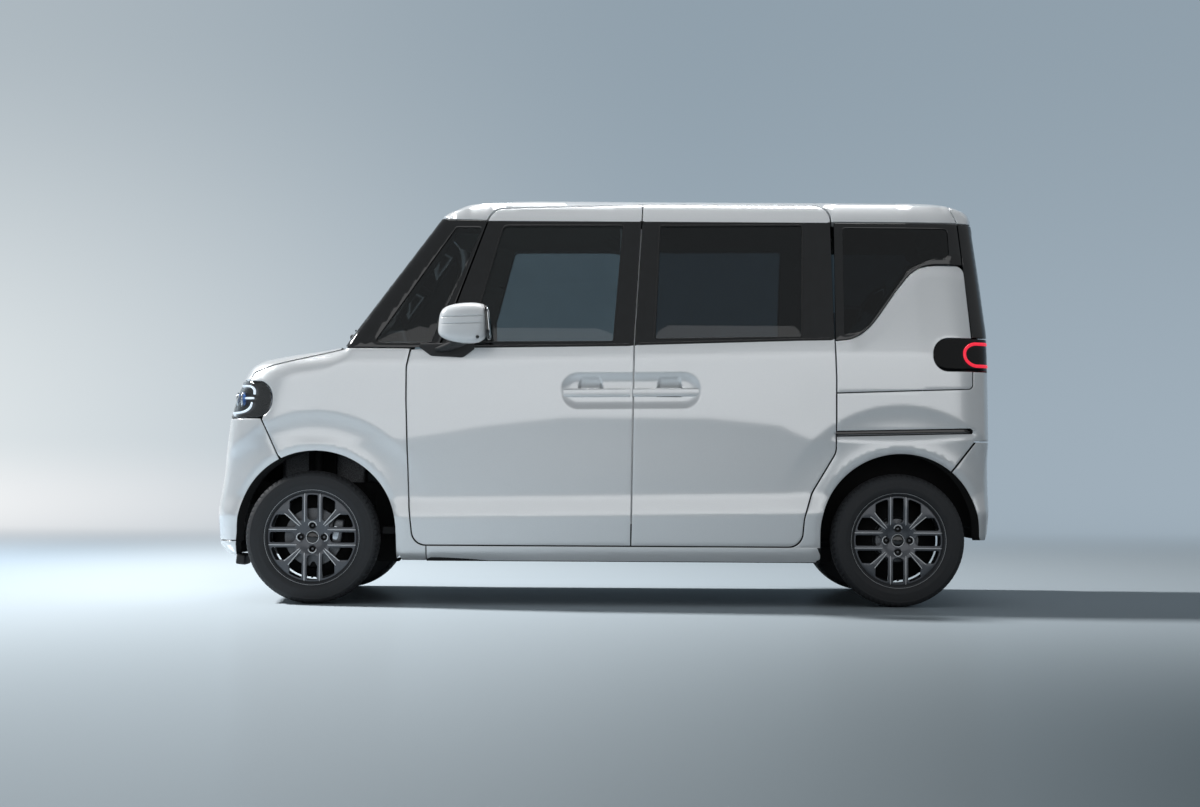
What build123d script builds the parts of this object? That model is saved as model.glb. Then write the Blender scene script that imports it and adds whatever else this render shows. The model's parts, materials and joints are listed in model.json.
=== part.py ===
"""Kei car: a tall four-wheeled wagon with hinged front doors, sliding rear doors and a lifting tailgate.

Units are millimetres.  X runs along the car with the nose towards -X, Y across it with the
car's left side at -Y, and Z up from the floor.  The origin is on the floor under the middle
of the car's length and width.  Lengths are counted from a wheel centre (from_front, from_rear),
heights of the roof end from the overall height (below_top) and widths from the side (inside).
"""

from build123d import *
import math
import os

# ---------------------------------------------------------------- driving sizes
wheelbase = 2520.0
front_overhang = 452.5
rear_overhang = 422.5
overall_width = 1475.0
overall_height = 1790.0
wall = 60.0  # doors and side walls, outer skin to inner trim
gap = 5.0  # shut lines round what opens
door_gap = 10.0  # shut line between front and rear door, for the front door's swing
door_flange = 18.0  # depth of the thin rear edge of the front door
seat_gap = 0.3  # pieces that sit against each other
glass_thickness = 5.0
glass_inset = 9.0  # glass below the skin around it
roof_thickness = 32.0
bumper_wall = 45.0
ground_clearance = 187.0
door_sill = 257.0  # lower edge of the doors
belt_front = 1108.0  # window sill at the front of the front door
belt_rear = 1143.0  # window sill at the rear door
tyre_radius = 286.0
tyre_width = 165.0
track = 1305.0
rim_radius = 208.0
rim_width = 140.0
bead_radius = 190.0
axle_height = tyre_radius
arch_lift = 26.0  # arch centre above the wheel centre
arch_radius = 346.0
arch_shift = 12.0  # arch centre behind the wheel centre
stub_radius = 16.0
bolt_circle = 100.0
wheel_bolts = 4
plate_bolt_spacing = 210.0
plate_bolt_radius = 3.0

# ---------------------------------------------------------------- derived places
overall_length = front_overhang + wheelbase + rear_overhang
front_x = -overall_length / 2
rear_x = overall_length / 2
front_axle_x = front_x + front_overhang
rear_axle_x = rear_x - rear_overhang
half_width = overall_width / 2
wheel_y = track / 2


def from_front(distance):
    """X of a place counted backwards from the front wheel centre."""
    return front_axle_x + distance


def from_rear(distance):
    """X of a place counted backwards from the rear wheel centre."""
    return rear_axle_x + distance


def below_top(distance):
    return overall_height - distance


def inside(distance):
    """Half-width of a place this far inside the widest point of the body."""
    return half_width - distance


# ---------------------------------------------------------------- shape helpers
# Every outline is a closed list of (first, second, corner radius).
def corner_points(rows):
    """Start, middle and end of each corner's arc; a sharp corner is the same point three times."""
    corners = []
    for i, (a, b, radius) in enumerate(rows):
        here = Vector(a, b)
        back, ahead = Vector(*rows[i - 1][:2]) - here, Vector(*rows[(i + 1) % len(rows)][:2]) - here
        half_angle = math.radians(back.get_angle(ahead)) / 2
        if radius == 0 or half_angle > math.radians(89.5):
            corners.append((here, here, here))
            continue
        reach = min(radius / math.tan(half_angle), 0.46 * back.length, 0.46 * ahead.length)
        radius = reach * math.tan(half_angle)
        bisector = (back.normalized() + ahead.normalized()).normalized()
        middle = here + bisector * (radius / math.sin(half_angle) - radius)
        corners.append((here + back.normalized() * reach, middle, here + ahead.normalized() * reach))
    return corners


def face_of(rows, grow=0.0):
    corners = corner_points(rows)
    edges = []
    for i, (start, middle, end) in enumerate(corners):
        following = corners[(i + 1) % len(corners)][0]
        if (end - start).length > 1e-3:
            edges.append(ThreePointArc(start, middle, end))
        if (following - end).length > 1e-3:
            edges.append(Line(end, following))
    face = Face(Wire(edges))
    if grow:
        face = offset(face, amount=grow, kind=Kind.INTERSECTION)
    return face


def side_prism(rows, y_from, y_to, grow=0.0):
    """Outline in (x, z), drawn out across the car."""
    face = Plane.XZ.offset(-y_from) * face_of(rows, grow)
    return extrude(face, amount=y_to - y_from, dir=(0, 1, 0))


def end_prism(rows, x_from, x_to, grow=0.0):
    """Outline in (y, z), drawn out along the car."""
    face = Plane.YZ.offset(x_from) * face_of(rows, grow)
    return extrude(face, amount=x_to - x_from, dir=(1, 0, 0))


def plan_prism(rows, z_from, z_to, grow=0.0):
    """Outline in (x, y), drawn out upwards."""
    face = Plane.XY.offset(z_from) * face_of(rows, grow)
    return extrude(face, amount=z_to - z_from, dir=(0, 0, 1))


def block(x_from, x_to, y_from, y_to, z_from, z_to):
    box = Box(x_to - x_from, y_to - y_from, z_to - z_from)
    return Pos((x_from + x_to) / 2, (y_from + y_to) / 2, (z_from + z_to) / 2) * box


def both_sides(half_rows):
    """A half outline from the middle of the car out to its side, closed by its mirror image."""
    return half_rows + [(-a, b, r) for a, b, r in reversed(half_rows)]


def rod(start, end, radius):
    line = Line(start, end)
    return sweep(Plane(origin=start, z_dir=Vector(*end) - Vector(*start)) * Circle(radius), path=line)


def cylinder_y(x, z, radius, y_from, y_to):
    ring = Plane.XZ.offset(-y_from) * Pos(x, z) * Circle(radius)
    return extrude(ring, amount=y_to - y_from, dir=(0, 1, 0))


def mirrored(shape):
    return shape.mirror(Plane.XZ)


def solids_of(*shapes):
    return Compound(children=[s for shape in shapes for s in shape.solids()])


def rounded_block(x_from, x_to, y_from, y_to, z_from, z_to, radius):
    shape = block(x_from, x_to, y_from, y_to, z_from, z_to)
    return fillet(shape.edges(), radius)


# ---------------------------------------------------------------- body form
beyond = 200.0  # how far cutting shapes run past the body
skirt_y, sill_y, crease_y, hollow_y = inside(48), inside(26), inside(7), inside(12)
shoulder_y, belt_y, rail_y, eaves_y = inside(6), inside(14), inside(116), inside(150)
crease_z, hollow_z, widest_z, shoulder_z = 392.0, 474.0, 736.0, 1045.0
black_top_z = below_top(128)  # top of the dark glasshouse band
door_top_z = below_top(51)
nose_top_z = 972.0
cowl_x, cowl_z = from_front(128), 1108.0
header_x, header_z = from_front(552), below_top(96)


def section(inset_side, inset_top, low_z):
    """Half outline of the body across the car, drawn in from the skin."""
    rows = [
        (skirt_y - inset_side, low_z, 0),
        (sill_y - inset_side, door_sill, 0),
        (crease_y - inset_side, crease_z, 40),
        (hollow_y - inset_side, hollow_z, 200),
        (half_width - inset_side, widest_z, 900),
        (shoulder_y - inset_side, shoulder_z, 300),
        (belt_y - inset_side, belt_front, 60),
        (rail_y - inset_side, black_top_z, 150),
        (eaves_y - inset_side, below_top(36) - inset_top, 60),
        (inside(520), overall_height - inset_top, 1800),
    ]
    return both_sides(rows)


def inner_section(inset_side, inset_top, low_z):
    """The same outline with a straight lower wall, for the inner face of the doors."""
    rows = [
        (inside(inset_side), low_z, 0),
        (inside(inset_side), shoulder_z, 200),
        (belt_y - inset_side, belt_front, 0),
        (rail_y - inset_side, black_top_z, 100),
        (eaves_y - inset_side, below_top(36) - inset_top, 30),
        (inside(520), overall_height - inset_top, 1800),
    ]
    return both_sides(rows)


side_profile = [
    (front_x + 62, ground_clearance, 20),
    (front_x + 8, 250, 40),
    (front_x, 400, 150),
    (front_x + 30, 610, 150),
    (front_x + 52, 800, 60),
    (front_x + 96, nose_top_z, 40),
    (from_front(-250), 1050, 200),
    (cowl_x, cowl_z, 0),
    (header_x, header_z, 90),
    (from_front(680), below_top(34), 300),
    (from_front(1150), below_top(0), 900),
    (from_front(1700), overall_height + 8, 0),
    (from_rear(-100), overall_height + 8, 0),
    (from_rear(225), below_top(22), 300),
    (rear_x - 66, below_top(78), 40),
    (rear_x - 62, black_top_z, 60),
    (rear_x - 10, 1180, 200),
    (rear_x, 420, 150),
    (rear_x - 8, 300, 30),
    (rear_x - 60, ground_clearance, 20),
]
plan_outline = [
    (front_x, -inside(330), 500),
    (front_x + 30, -inside(100), 100),
    (from_front(-255), -inside(9), 500),
    (from_front(-60), -half_width, 0),
    (from_rear(100), -half_width, 0),
    (from_rear(285), -inside(14), 300),
    (rear_x - 22, -inside(78), 90),
    (rear_x, -inside(230), 400),
]
plan_outline = plan_outline + [(x, -y, r) for x, y, r in reversed(plan_outline)]

outer = (
    end_prism(section(0, 0, ground_clearance), front_x - beyond, rear_x + beyond)
    & side_prism(side_profile, -half_width - beyond, half_width + beyond)
    & plan_prism(plan_outline, 0, overall_height + beyond)
)
cabin_core = end_prism(inner_section(wall, roof_thickness, 0), front_x - beyond, rear_x + beyond)
side_wall = outer - cabin_core
left_half = block(front_x - beyond, rear_x + beyond, -half_width - beyond, 0, 0, overall_height + beyond)
left_wall = side_wall & left_half


def body_core(depth, side_depth=wall):
    """The space left inside the body at this depth from its ends and roof, and side_depth from its sides."""
    core = side_prism(side_profile, -half_width, half_width, -depth)
    core &= plan_prism(plan_outline, 0, overall_height, -depth)
    return core & end_prism(inner_section(side_depth, depth, 0), front_x, rear_x)


roof_core = body_core(roof_thickness)
bumper_core = body_core(bumper_wall)
shell_wall = outer - bumper_core

# ---------------------------------------------------------------- shut lines, all in (x, z)
door_front_x = from_front(403)
b_low_x, b_belt_x, b_top_x = from_rear(-1150), from_rear(-1140), from_rear(-1103)
quarter_edge_x = from_rear(-271)

front_door_rows = [
    (from_front(421), belt_front - 12, 0),
    (from_front(545), belt_front, 0),
    (from_front(764), door_top_z - 22, 80),
    (b_top_x - door_gap / 2, door_top_z, 0),
    (b_belt_x - door_gap / 2, belt_front + 10, 0),
    (b_low_x - door_gap / 2, door_sill, 0),
    (door_front_x + 32, door_sill, 60),
    (door_front_x + 16, 420, 200),
    (door_front_x, 880, 400),
    (door_front_x, 1020, 60),
]
rear_door_rows = [
    (b_top_x + door_gap / 2, door_top_z, 0),
    (quarter_edge_x - 20, door_top_z, 90),
    (quarter_edge_x - 6, belt_rear, 0),
    (quarter_edge_x, 980, 0),
    (quarter_edge_x, 665, 70),
    (quarter_edge_x - 104, 490, 160),
    (quarter_edge_x - 136, 380, 150),
    (quarter_edge_x - 146, door_sill, 70),
    (b_low_x + door_gap / 2, door_sill, 0),
    (b_belt_x + door_gap / 2, belt_front + 10, 0),
]
front_glass_rows = [
    (from_front(668), belt_front + 22, 15),
    (from_front(805), black_top_z - 32, 30),
    (b_top_x - 86, black_top_z - 30, 12),
    (b_belt_x - 88, belt_front + 22, 12),
]
rear_glass_rows = [
    (b_top_x + 72, black_top_z - 30, 12),
    (quarter_edge_x - 140, black_top_z - 18, 12),
    (quarter_edge_x - 146, belt_rear + 8, 12),
    (b_belt_x + 88, belt_rear - 2, 12),
]
front_quarter_rows = [
    (cowl_x + 125, belt_front + 16, 12),
    (from_front(545) - 40, belt_front + 16, 12),
    (from_front(722), black_top_z - 26, 10),
    (header_x + 50, black_top_z - 26, 10),
]
rear_quarter_rows = [
    (quarter_edge_x + 14, black_top_z - 22, 12),
    (from_rear(262), black_top_z - 22, 15),
    (from_rear(268), belt_rear + 355, 20),
    (from_rear(150), belt_rear + 350, 60),
    (from_rear(50), belt_rear + 300, 90),
    (from_rear(-155), belt_rear + 30, 90),
    (quarter_edge_x + 14, belt_rear + 10, 12),
]
bonnet_rows = [
    (from_front(-700), nose_top_z - 4, 0),
    (from_front(-284), nose_top_z - 8, 0),
    (from_front(-266), 996, 0),
    (from_front(-170), 1030, 60),
    (cowl_x - 8, cowl_z - 12, 0),
    (cowl_x - 8, cowl_z + 200, 0),
    (from_front(-700), cowl_z + 200, 0),
]
lamp_low, lamp_high = 797.0, 958.0
headlamp_rows = [
    (front_x - beyond, lamp_low, 0),
    (from_front(-180), lamp_low + 6, 78),
    (from_front(-180), lamp_high, 78),
    (front_x - beyond, lamp_high, 0),
]
lamp_inner_y = 395.0  # headlamps end here on the front face
front_bumper_rows = [
    (front_x - beyond, ground_clearance, 0),
    (from_front(-325), ground_clearance, 0),
    (from_front(-325), 500, 0),
    (from_front(-147), 640, 0),
    (from_front(-222), lamp_low, 0),
    (from_front(-284), nose_top_z - 8, 0),
    (front_x - beyond, nose_top_z - 4, 0),
]
tail_low, tail_high = 1018.0, 1157.0
tail_lamp_rows = [
    (from_rear(151), tail_low, 69),
    (from_rear(151), tail_high, 69),
    (rear_x + beyond, tail_high, 0),
    (rear_x + beyond, tail_low, 0),
]
gate_edge_y = inside(155)  # side edge of the tailgate beside the lamps and below them
bumper_top_z = 714.0
rear_bumper_low = 283.0
rear_bumper_rows = [
    (rear_x - 90, bumper_top_z, 0),
    (rear_x + beyond, bumper_top_z, 0),
    (rear_x + beyond, rear_bumper_low, 0),
    (from_rear(200), rear_bumper_low, 0),
    (from_rear(200), 560, 0),
    (from_rear(236), 585, 0),
]
gate_rows = [
    (from_rear(239), overall_height + beyond, 0),
    (from_rear(239), door_top_z, 0),
    (from_rear(274), black_top_z, 0),
    (from_rear(322), tail_high + gap, 0),
    (rear_x + beyond, tail_high + gap, 0),
    (rear_x + beyond, overall_height + beyond, 0),
]
front_door_zone = side_prism(front_door_rows, -half_width - beyond, half_width + beyond, gap)
rear_door_zone = side_prism(rear_door_rows, -half_width - beyond, half_width + beyond, gap)


def across(rows, grow=0.0):
    return side_prism(rows, -half_width - beyond, half_width + beyond, grow)


def arch_cut(axle_x):
    """The round opening over a wheel, straight down below the axle."""
    centre_x = axle_x + arch_shift
    round_part = cylinder_y(centre_x, axle_height + arch_lift, arch_radius, -half_width - beyond, half_width + beyond)
    lower = block(
        centre_x - arch_radius, centre_x + arch_radius,
        -half_width - beyond, half_width + beyond, 0, axle_height + arch_lift,
    )
    return round_part + lower


front_arch, rear_arch = arch_cut(front_axle_x), arch_cut(rear_axle_x)


def glass_layer(rows, grow=0.0):
    """A sheet of glass that follows the side of the body inside an opening."""
    x_ends = (front_x - beyond, rear_x + beyond)
    layer = end_prism(section(glass_inset, glass_inset, 0), *x_ends) - end_prism(
        section(glass_inset + glass_thickness, glass_inset + glass_thickness, 0), *x_ends
    )
    return layer & side_prism(rows, -half_width - beyond, 0, grow)


# ---------------------------------------------------------------- side panels (left side; the right is its mirror)
door_wall = left_wall & block(front_x, rear_x, -half_width, -(eaves_y - wall), 0, overall_height)


def front_door():
    """Hinged door, thinner along its rear edge so that it swings clear of the sliding door."""
    door = (door_wall & across(front_door_rows)) - across(front_glass_rows)
    edge = [
        (b_top_x - door_gap / 2 - 12, door_top_z + gap, 0), (b_top_x + gap, door_top_z + gap, 0),
        (b_belt_x + gap, belt_front + 10, 0), (b_low_x + gap, door_sill - gap, 0),
        (b_low_x - door_gap / 2 - 12, door_sill - gap, 0), (b_belt_x - door_gap / 2 - 12, belt_front + 10, 0),
    ]
    inner_face = inner_section(door_flange, door_flange, 0)
    return door - (end_prism(inner_face, front_x, rear_x) & across(edge))


def rear_door():
    """Sliding door, with the lower rollers that carry it on the sill."""
    rollers = [
        block(x, x + 30, -inside(wall - 12), -inside(wall - 4), door_sill - gap + seat_gap, door_sill + 5)
        for x in (b_low_x + 60, quarter_edge_x - 260)
    ]
    return (door_wall & across(rear_door_rows)) - across(rear_glass_rows) + rollers


def front_fender():
    region = [
        (from_front(-720), nose_top_z, 0),
        (from_front(-284), nose_top_z - 8, 0),
        (from_front(-266), 996, 0),
        (from_front(-170), 1030, 60),
        (cowl_x - 8, cowl_z - 12, 0),
        (from_front(491), belt_front - 12, 0),
        (from_front(491), ground_clearance, 0),
        (from_front(-720), ground_clearance, 0),
    ]
    panel = (left_wall & across(region)) - front_door_zone - front_arch - across(bonnet_rows, gap)
    return panel - across(front_bumper_rows, seat_gap) - across(headlamp_rows, seat_gap)


post_depth = 55.0  # inboard posts at the front and middle of the side


def inboard_post(x_from, x_to, z_top):
    """A post just inside the doors, from the sill up, following the side of the body."""
    post = end_prism(inner_section(wall + gap, roof_thickness + 60, 0), x_from, x_to)
    post -= end_prism(inner_section(wall + gap + post_depth, roof_thickness + 60, -10), x_from - 1, x_to + 1)
    return post & block(x_from, x_to, -half_width, 0, floor_top + sill_step + seat_gap, z_top)


def door_pads(x, heights):
    """Rubber pads on a post that the shut door rests against, also as its hinge leaves."""
    pads = end_prism(inner_section(wall + seat_gap, roof_thickness, 0), x, x + 24)
    pads -= end_prism(inner_section(wall + gap + 1, roof_thickness, -10), x - 1, x + 25)
    return [pads & block(x, x + 24, -half_width, 0, z, z + 60) for z in heights]


def front_pillar():
    """Windscreen pillar with its small side window, and the post that the door hinges on."""
    foot_z = belt_front - 12 + seat_gap
    region = [
        (from_front(-100), foot_z, 0),
        (from_front(620), foot_z, 0),
        (from_front(800), door_top_z - 60, 0),
        (from_front(770), black_top_z - seat_gap, 0),
        (header_x - 300, black_top_z - seat_gap, 0),
    ]
    upper = (left_wall & across(region)) - front_door_zone - across(front_quarter_rows)
    upper -= across(bonnet_rows, gap)
    post = inboard_post(door_front_x - 28, door_front_x + 72, belt_front + 6)
    link = block(
        cowl_x + 80, door_front_x + 72, -inside(40), -inside(wall + gap + post_depth), foot_z, belt_front + 8
    )
    link -= front_door_zone
    link &= outer
    return upper + post + link + door_pads(door_front_x + 40, (420, 900))


def quarter_panel():
    """Rear body side from the sliding door to the tailgate, with its window and wheel arch."""
    region = [
        (quarter_edge_x - 320, ground_clearance, 0),
        (quarter_edge_x - 320, door_top_z - 200, 0),
        (quarter_edge_x - 60, black_top_z - seat_gap, 0),
        (rear_x + beyond, black_top_z - seat_gap, 0),
        (rear_x + beyond, ground_clearance + 100, 0),
        (from_rear(200), ground_clearance, 0),
    ]
    panel = (shell_wall & left_half & across(region)) - rear_door_zone - rear_arch - across(rear_quarter_rows)
    panel -= across(gate_rows, gap) + gate_lower(gap)
    panel -= across(rear_bumper_rows, seat_gap) + across(tail_lamp_rows, seat_gap)
    panel -= block(quarter_edge_x - 400, rear_axle_x, -half_width, 0, 0, door_sill - gap + seat_gap)
    panel -= block(rear_axle_x, rear_x + beyond, -half_width, 0, 0, rear_bumper_low + gap)
    panel -= block(quarter_edge_x - 400, rear_x + beyond, -inside(240), 0, 0, overall_height)
    return panel - slide_rail_groove()


def gate_lower(grow):
    """The part of the tailgate's opening between the lamps and below them."""
    reach = gate_edge_y + grow
    return block(rear_x - 150, rear_x + beyond, -reach, reach, bumper_top_z + gap - grow, tail_high + 2 * gap)


def slide_rail_groove():
    """The channel that the sliding door's arm runs in."""
    rows = [(quarter_edge_x - 10, 733, 0), (quarter_edge_x - 10, 754, 0),
            (rear_x - 112, 768, 8), (rear_x - 96, 747, 0)]
    return side_prism(rows, -half_width - beyond, -inside(14))


# ---------------------------------------------------------------- top
def roof_panel():
    skin = (outer - roof_core) & block(
        front_x, rear_x, -half_width, half_width, black_top_z, overall_height + beyond
    )
    skin -= front_door_zone + rear_door_zone + across(gate_rows, gap)
    rail_outer = eaves_y - wall - gap
    rail = block(
        header_x + 60, from_rear(215), rail_outer - 55, rail_outer, black_top_z - 25, door_top_z + gap + 8
    )
    rail &= across(side_profile, -roof_thickness / 2)
    rail += mirrored(rail)
    return skin + rail


bonnet_thickness = 24.0


def bonnet():
    return (outer & across(bonnet_rows, -gap / 2)) - body_core(bonnet_thickness)


def windscreen():
    slope = math.atan2(header_z - cowl_z, header_x - cowl_x)
    depth = (glass_thickness + 3) / math.sin(slope)
    set_in = 4.0  # below the pillars' outer face

    def on_screen(z):
        return (cowl_x + (z - cowl_z) / math.tan(slope) + set_in, z)

    low, top = on_screen(cowl_z + 26), on_screen(black_top_z - seat_gap)
    rows = [(low[0], low[1], 0), (top[0], top[1], 0), (top[0] + depth, top[1], 0), (low[0] + depth, low[1], 0)]
    return across(rows) & end_prism(inner_section(wall + seat_gap, roof_thickness, 0), front_x, rear_x)


gate_thickness = 48.0


def tailgate():
    shell = outer & (across(gate_rows) + gate_lower(0))
    shell -= body_core(gate_thickness, gate_thickness)
    return shell


gate_glass_half = [
    (inside(150), tail_high + 48, 30),
    (inside(200), black_top_z - 10, 40),
]
gate_glass_rows = both_sides(gate_glass_half)


def tailgate_glass_layer():
    offset_x = 10.0
    rows = [
        (rear_x - 10 - offset_x, 1180, 150), (rear_x - 62 - offset_x, black_top_z, 60),
        (rear_x - 66 - offset_x, below_top(78), 0), (rear_x - 72 - offset_x, below_top(78), 0),
        (rear_x - 68 - offset_x, black_top_z, 60), (rear_x - 16 - offset_x, 1180, 150),
        (rear_x - 15 - offset_x, 1100, 0), (rear_x - 9 - offset_x, 1100, 0),
    ]
    return across(rows)


def front_bumper():
    shell = (shell_wall & across(front_bumper_rows)) - front_arch - headlamp_zone(seat_gap)
    return shell - plate_holes(front_x - beyond, front_x + 2 * bumper_wall, front_plate_z)


front_plate_z, rear_plate_z = 470.0, 860.0


def plate_holes(x_from, x_to, z, radius=plate_bolt_radius):
    return [
        extrude(
            Plane.YZ.offset(x_from) * Pos(y, z) * Circle(radius),
            amount=x_to - x_from, dir=(1, 0, 0),
        )
        for y in (-plate_bolt_spacing / 2, plate_bolt_spacing / 2)
    ]


def headlamp_zone(grow):
    zone = across(headlamp_rows, grow)
    middle = block(front_x - beyond, 0, -lamp_inner_y + grow, lamp_inner_y - grow, 0, overall_height)
    return zone - middle


def headlamps():
    return shell_wall & headlamp_zone(0)


def rear_bumper():
    """Bumper with the two buffers that the shut tailgate rests on."""
    buffers = [
        block(rear_x - 40, rear_x - 15, y - 15, y + 15, bumper_top_z - 2, bumper_top_z + gap - seat_gap)
        for y in (-300, 300)
    ]
    return (shell_wall & across(rear_bumper_rows)) - rear_arch + buffers


def tail_lamps():
    middle = gate_edge_y + gap
    lamps = shell_wall & across(tail_lamp_rows)
    return lamps - block(0, rear_x + beyond, -middle, middle, 0, overall_height)


# ---------------------------------------------------------------- floor and structure
floor_top = 330.0
floor_sheet = 28.0
sill_step = 20.0  # inner sill above the floor
sill_width = 70.0
boot_floor = 560.0
tub_y = 480.0  # inner face of the rear wheel housings
front_tub_y = 400.0
liner = 6.0
inner_y = inside(wall + gap)
bulkhead_low_x, bulkhead_high_x = from_front(368), from_front(225)
bulkhead_step_z = 690.0
post_inner_y = inside(wall + gap + post_depth)


def floor_pan():
    kick_low, kick_high = rear_axle_x - 315, rear_axle_x - 235
    under = floor_sheet
    rows = [
        (from_front(300), floor_top, 0), (kick_low, floor_top, 40), (kick_high, boot_floor, 40),
        (rear_x, boot_floor, 0), (rear_x, boot_floor - under, 0), (kick_high + 20, boot_floor - under, 20),
        (kick_low + 10, floor_top - under, 60), (from_front(300), floor_top - under, 0),
    ]
    pan = side_prism(rows, -inner_y, inner_y) & body_core(bumper_wall + seat_gap)
    boot_side = block(rear_axle_x - 372, rear_x, tub_y - seat_gap, half_width, 0, overall_height)
    pan -= boot_side + mirrored(boot_side)
    sill_end_x = rear_axle_x - 372
    inner_sill = block(
        bulkhead_low_x + 20 + seat_gap, sill_end_x, -inner_y, -inner_y + sill_width,
        ground_clearance + 20, floor_top + sill_step,
    )
    rocker = left_wall & block(
        from_front(491) + seat_gap, rear_axle_x - arch_radius + arch_shift,
        -half_width, 0, ground_clearance, door_sill - gap,
    )
    web = block(
        from_front(491) + seat_gap, sill_end_x, -inner_y - 8, -inner_y + 20,
        ground_clearance + 20, door_sill - gap,
    )
    sill = inner_sill + rocker + web
    return pan + sill + mirrored(sill)


def wheel_housings():
    """Liners over the wheels: a round shell and, at the rear, the inner wall that it stands on."""
    pieces = []
    for axle_x, y_inner, has_wall in ((front_axle_x, front_tub_y, False), (rear_axle_x, tub_y, True)):
        centre_x, centre_z = axle_x + arch_shift, axle_height + arch_lift
        outer_r = arch_radius + liner + 2
        y_out, y_in = -inside(wall) + seat_gap, -y_inner
        shell = cylinder_y(centre_x, centre_z, outer_r, y_out, y_in)
        shell -= cylinder_y(centre_x, centre_z, outer_r - liner, y_out - 1, y_in - liner if has_wall else y_in + 1)
        shell &= block(centre_x - 500, centre_x + 500, -half_width, 0, centre_z + 30, 900)
        if not has_wall:
            shell -= rod((axle_x, -kingpin_y(600), 600), (axle_x, -kingpin_y(720), 720), 62)
        shell &= plan_prism(plan_outline, 0, overall_height, -bumper_wall - gap)
        pieces += [shell, mirrored(shell)]
    return solids_of(*pieces)


def b_pillar():
    post = inboard_post(b_low_x - 55, b_low_x + 85, black_top_z - 25 - seat_gap)
    return post + door_pads(b_low_x - 50, (420, 950)) + door_pads(b_low_x + 40, (420, 950))


def scuttle():
    """Bulkhead between the engine and the cabin, stepped over the wheels, with the tray under the windscreen."""
    sheet = 20.0
    rows = [
        (bulkhead_low_x, floor_top + seat_gap, 0), (bulkhead_low_x, bulkhead_step_z - sheet, 0),
        (bulkhead_high_x, bulkhead_step_z - sheet, 0), (bulkhead_high_x, cowl_z - 60, 0),
        (cowl_x + 2, cowl_z - 34, 0), (cowl_x + 2, cowl_z - 6, 0), (cowl_x + 14, cowl_z + 12, 0),
        (bulkhead_high_x + sheet, cowl_z + 12, 0), (bulkhead_high_x + sheet, bulkhead_step_z, 0),
        (bulkhead_low_x + sheet, bulkhead_step_z, 0), (bulkhead_low_x + sheet, floor_top + seat_gap, 0),
    ]
    half = post_inner_y - seat_gap
    wall_sheet = side_prism(rows, -half, half)
    under_bonnet = outer - across(bonnet_rows, seat_gap - gap / 2)
    for y in (-450, 450):
        ledge = block(cowl_x - 36, cowl_x + 20, y - 20, y + 20, cowl_z - 54, cowl_z - 36)
        stop = block(cowl_x - 36, cowl_x - 16, y - 20, y + 20, cowl_z - 45, cowl_z) & under_bonnet
        wall_sheet += ledge + stop
    return wall_sheet


def front_subframe():
    beam = block(from_front(-60), from_front(110), -360, 360, 190, 250)
    rail = block(front_x + 90, bulkhead_low_x - seat_gap, 330, 385, 420, 520)
    tower = block(from_front(-85), from_front(85), 380, 545, top_z + 25, top_z + 45)
    leg = block(from_front(-60), from_front(60), 330, 385, 250, top_z + 45)
    arm = rod((front_axle_x + 30, 350, 205), (front_axle_x, kingpin_y(160), 160), 14)
    arm &= block(front_x, 0, 0, 590, 0, 400)
    cup = rod(on_kingpin(ball_z - 26), on_kingpin(ball_z - 4), 26)
    mount = block(from_front(-60), from_front(60), engine_half + seat_gap, 331, 430, 500)
    side = rail + tower + leg + arm + cup + mount
    link = rod((front_axle_x + 6, 540, 160), (front_axle_x, kingpin_y(160) - 8, 158), 12)
    side = side + link
    nose_beam = block(front_x, front_x + 112, -500, 500, 420, 520) & body_core(bumper_wall + seat_gap)
    nose_beam -= plate_holes(front_x, front_x + 113, front_plate_z, 3 * plate_bolt_radius)
    return beam + side + mirrored(side) + nose_beam


# ---------------------------------------------------------------- running gear
ball_y, ball_z = 634.0, 178.0  # lower ball joint
top_y, top_z = 470.0, 880.0  # strut top mount
hub_y = wheel_y - 4  # outer end of the stub axle
engine_half = 300.0


def kingpin_y(z):
    """Distance from the middle of the car of the line that the front wheel steers about."""
    return ball_y + (top_y - ball_y) * (z - ball_z) / (top_z - ball_z)


def on_kingpin(z):
    return (front_axle_x, kingpin_y(z), z)


def knuckle():
    """Steering knuckle with its stub axle and strut, for the right side."""
    carrier = rounded_block(front_axle_x - 38, front_axle_x + 38, 588, 622, 205, 372, 8)
    foot = block(front_axle_x - 22, front_axle_x + 22, 600, 645, 194, 210)
    stud = rod(on_kingpin(ball_z - 4 + seat_gap), on_kingpin(ball_z + 24), 9)
    stub = cylinder_y(front_axle_x, axle_height, stub_radius, 600, hub_y)
    ear = block(front_axle_x - 24, front_axle_x + 24, 520, 606, 352, 384)
    strut = rod((front_axle_x, 532, 340), (front_axle_x, top_y, top_z), 22)
    cap = Pos(front_axle_x, top_y, top_z) * Sphere(25 - seat_gap)
    return carrier + foot + stub + ear + strut + cap + stud


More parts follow.
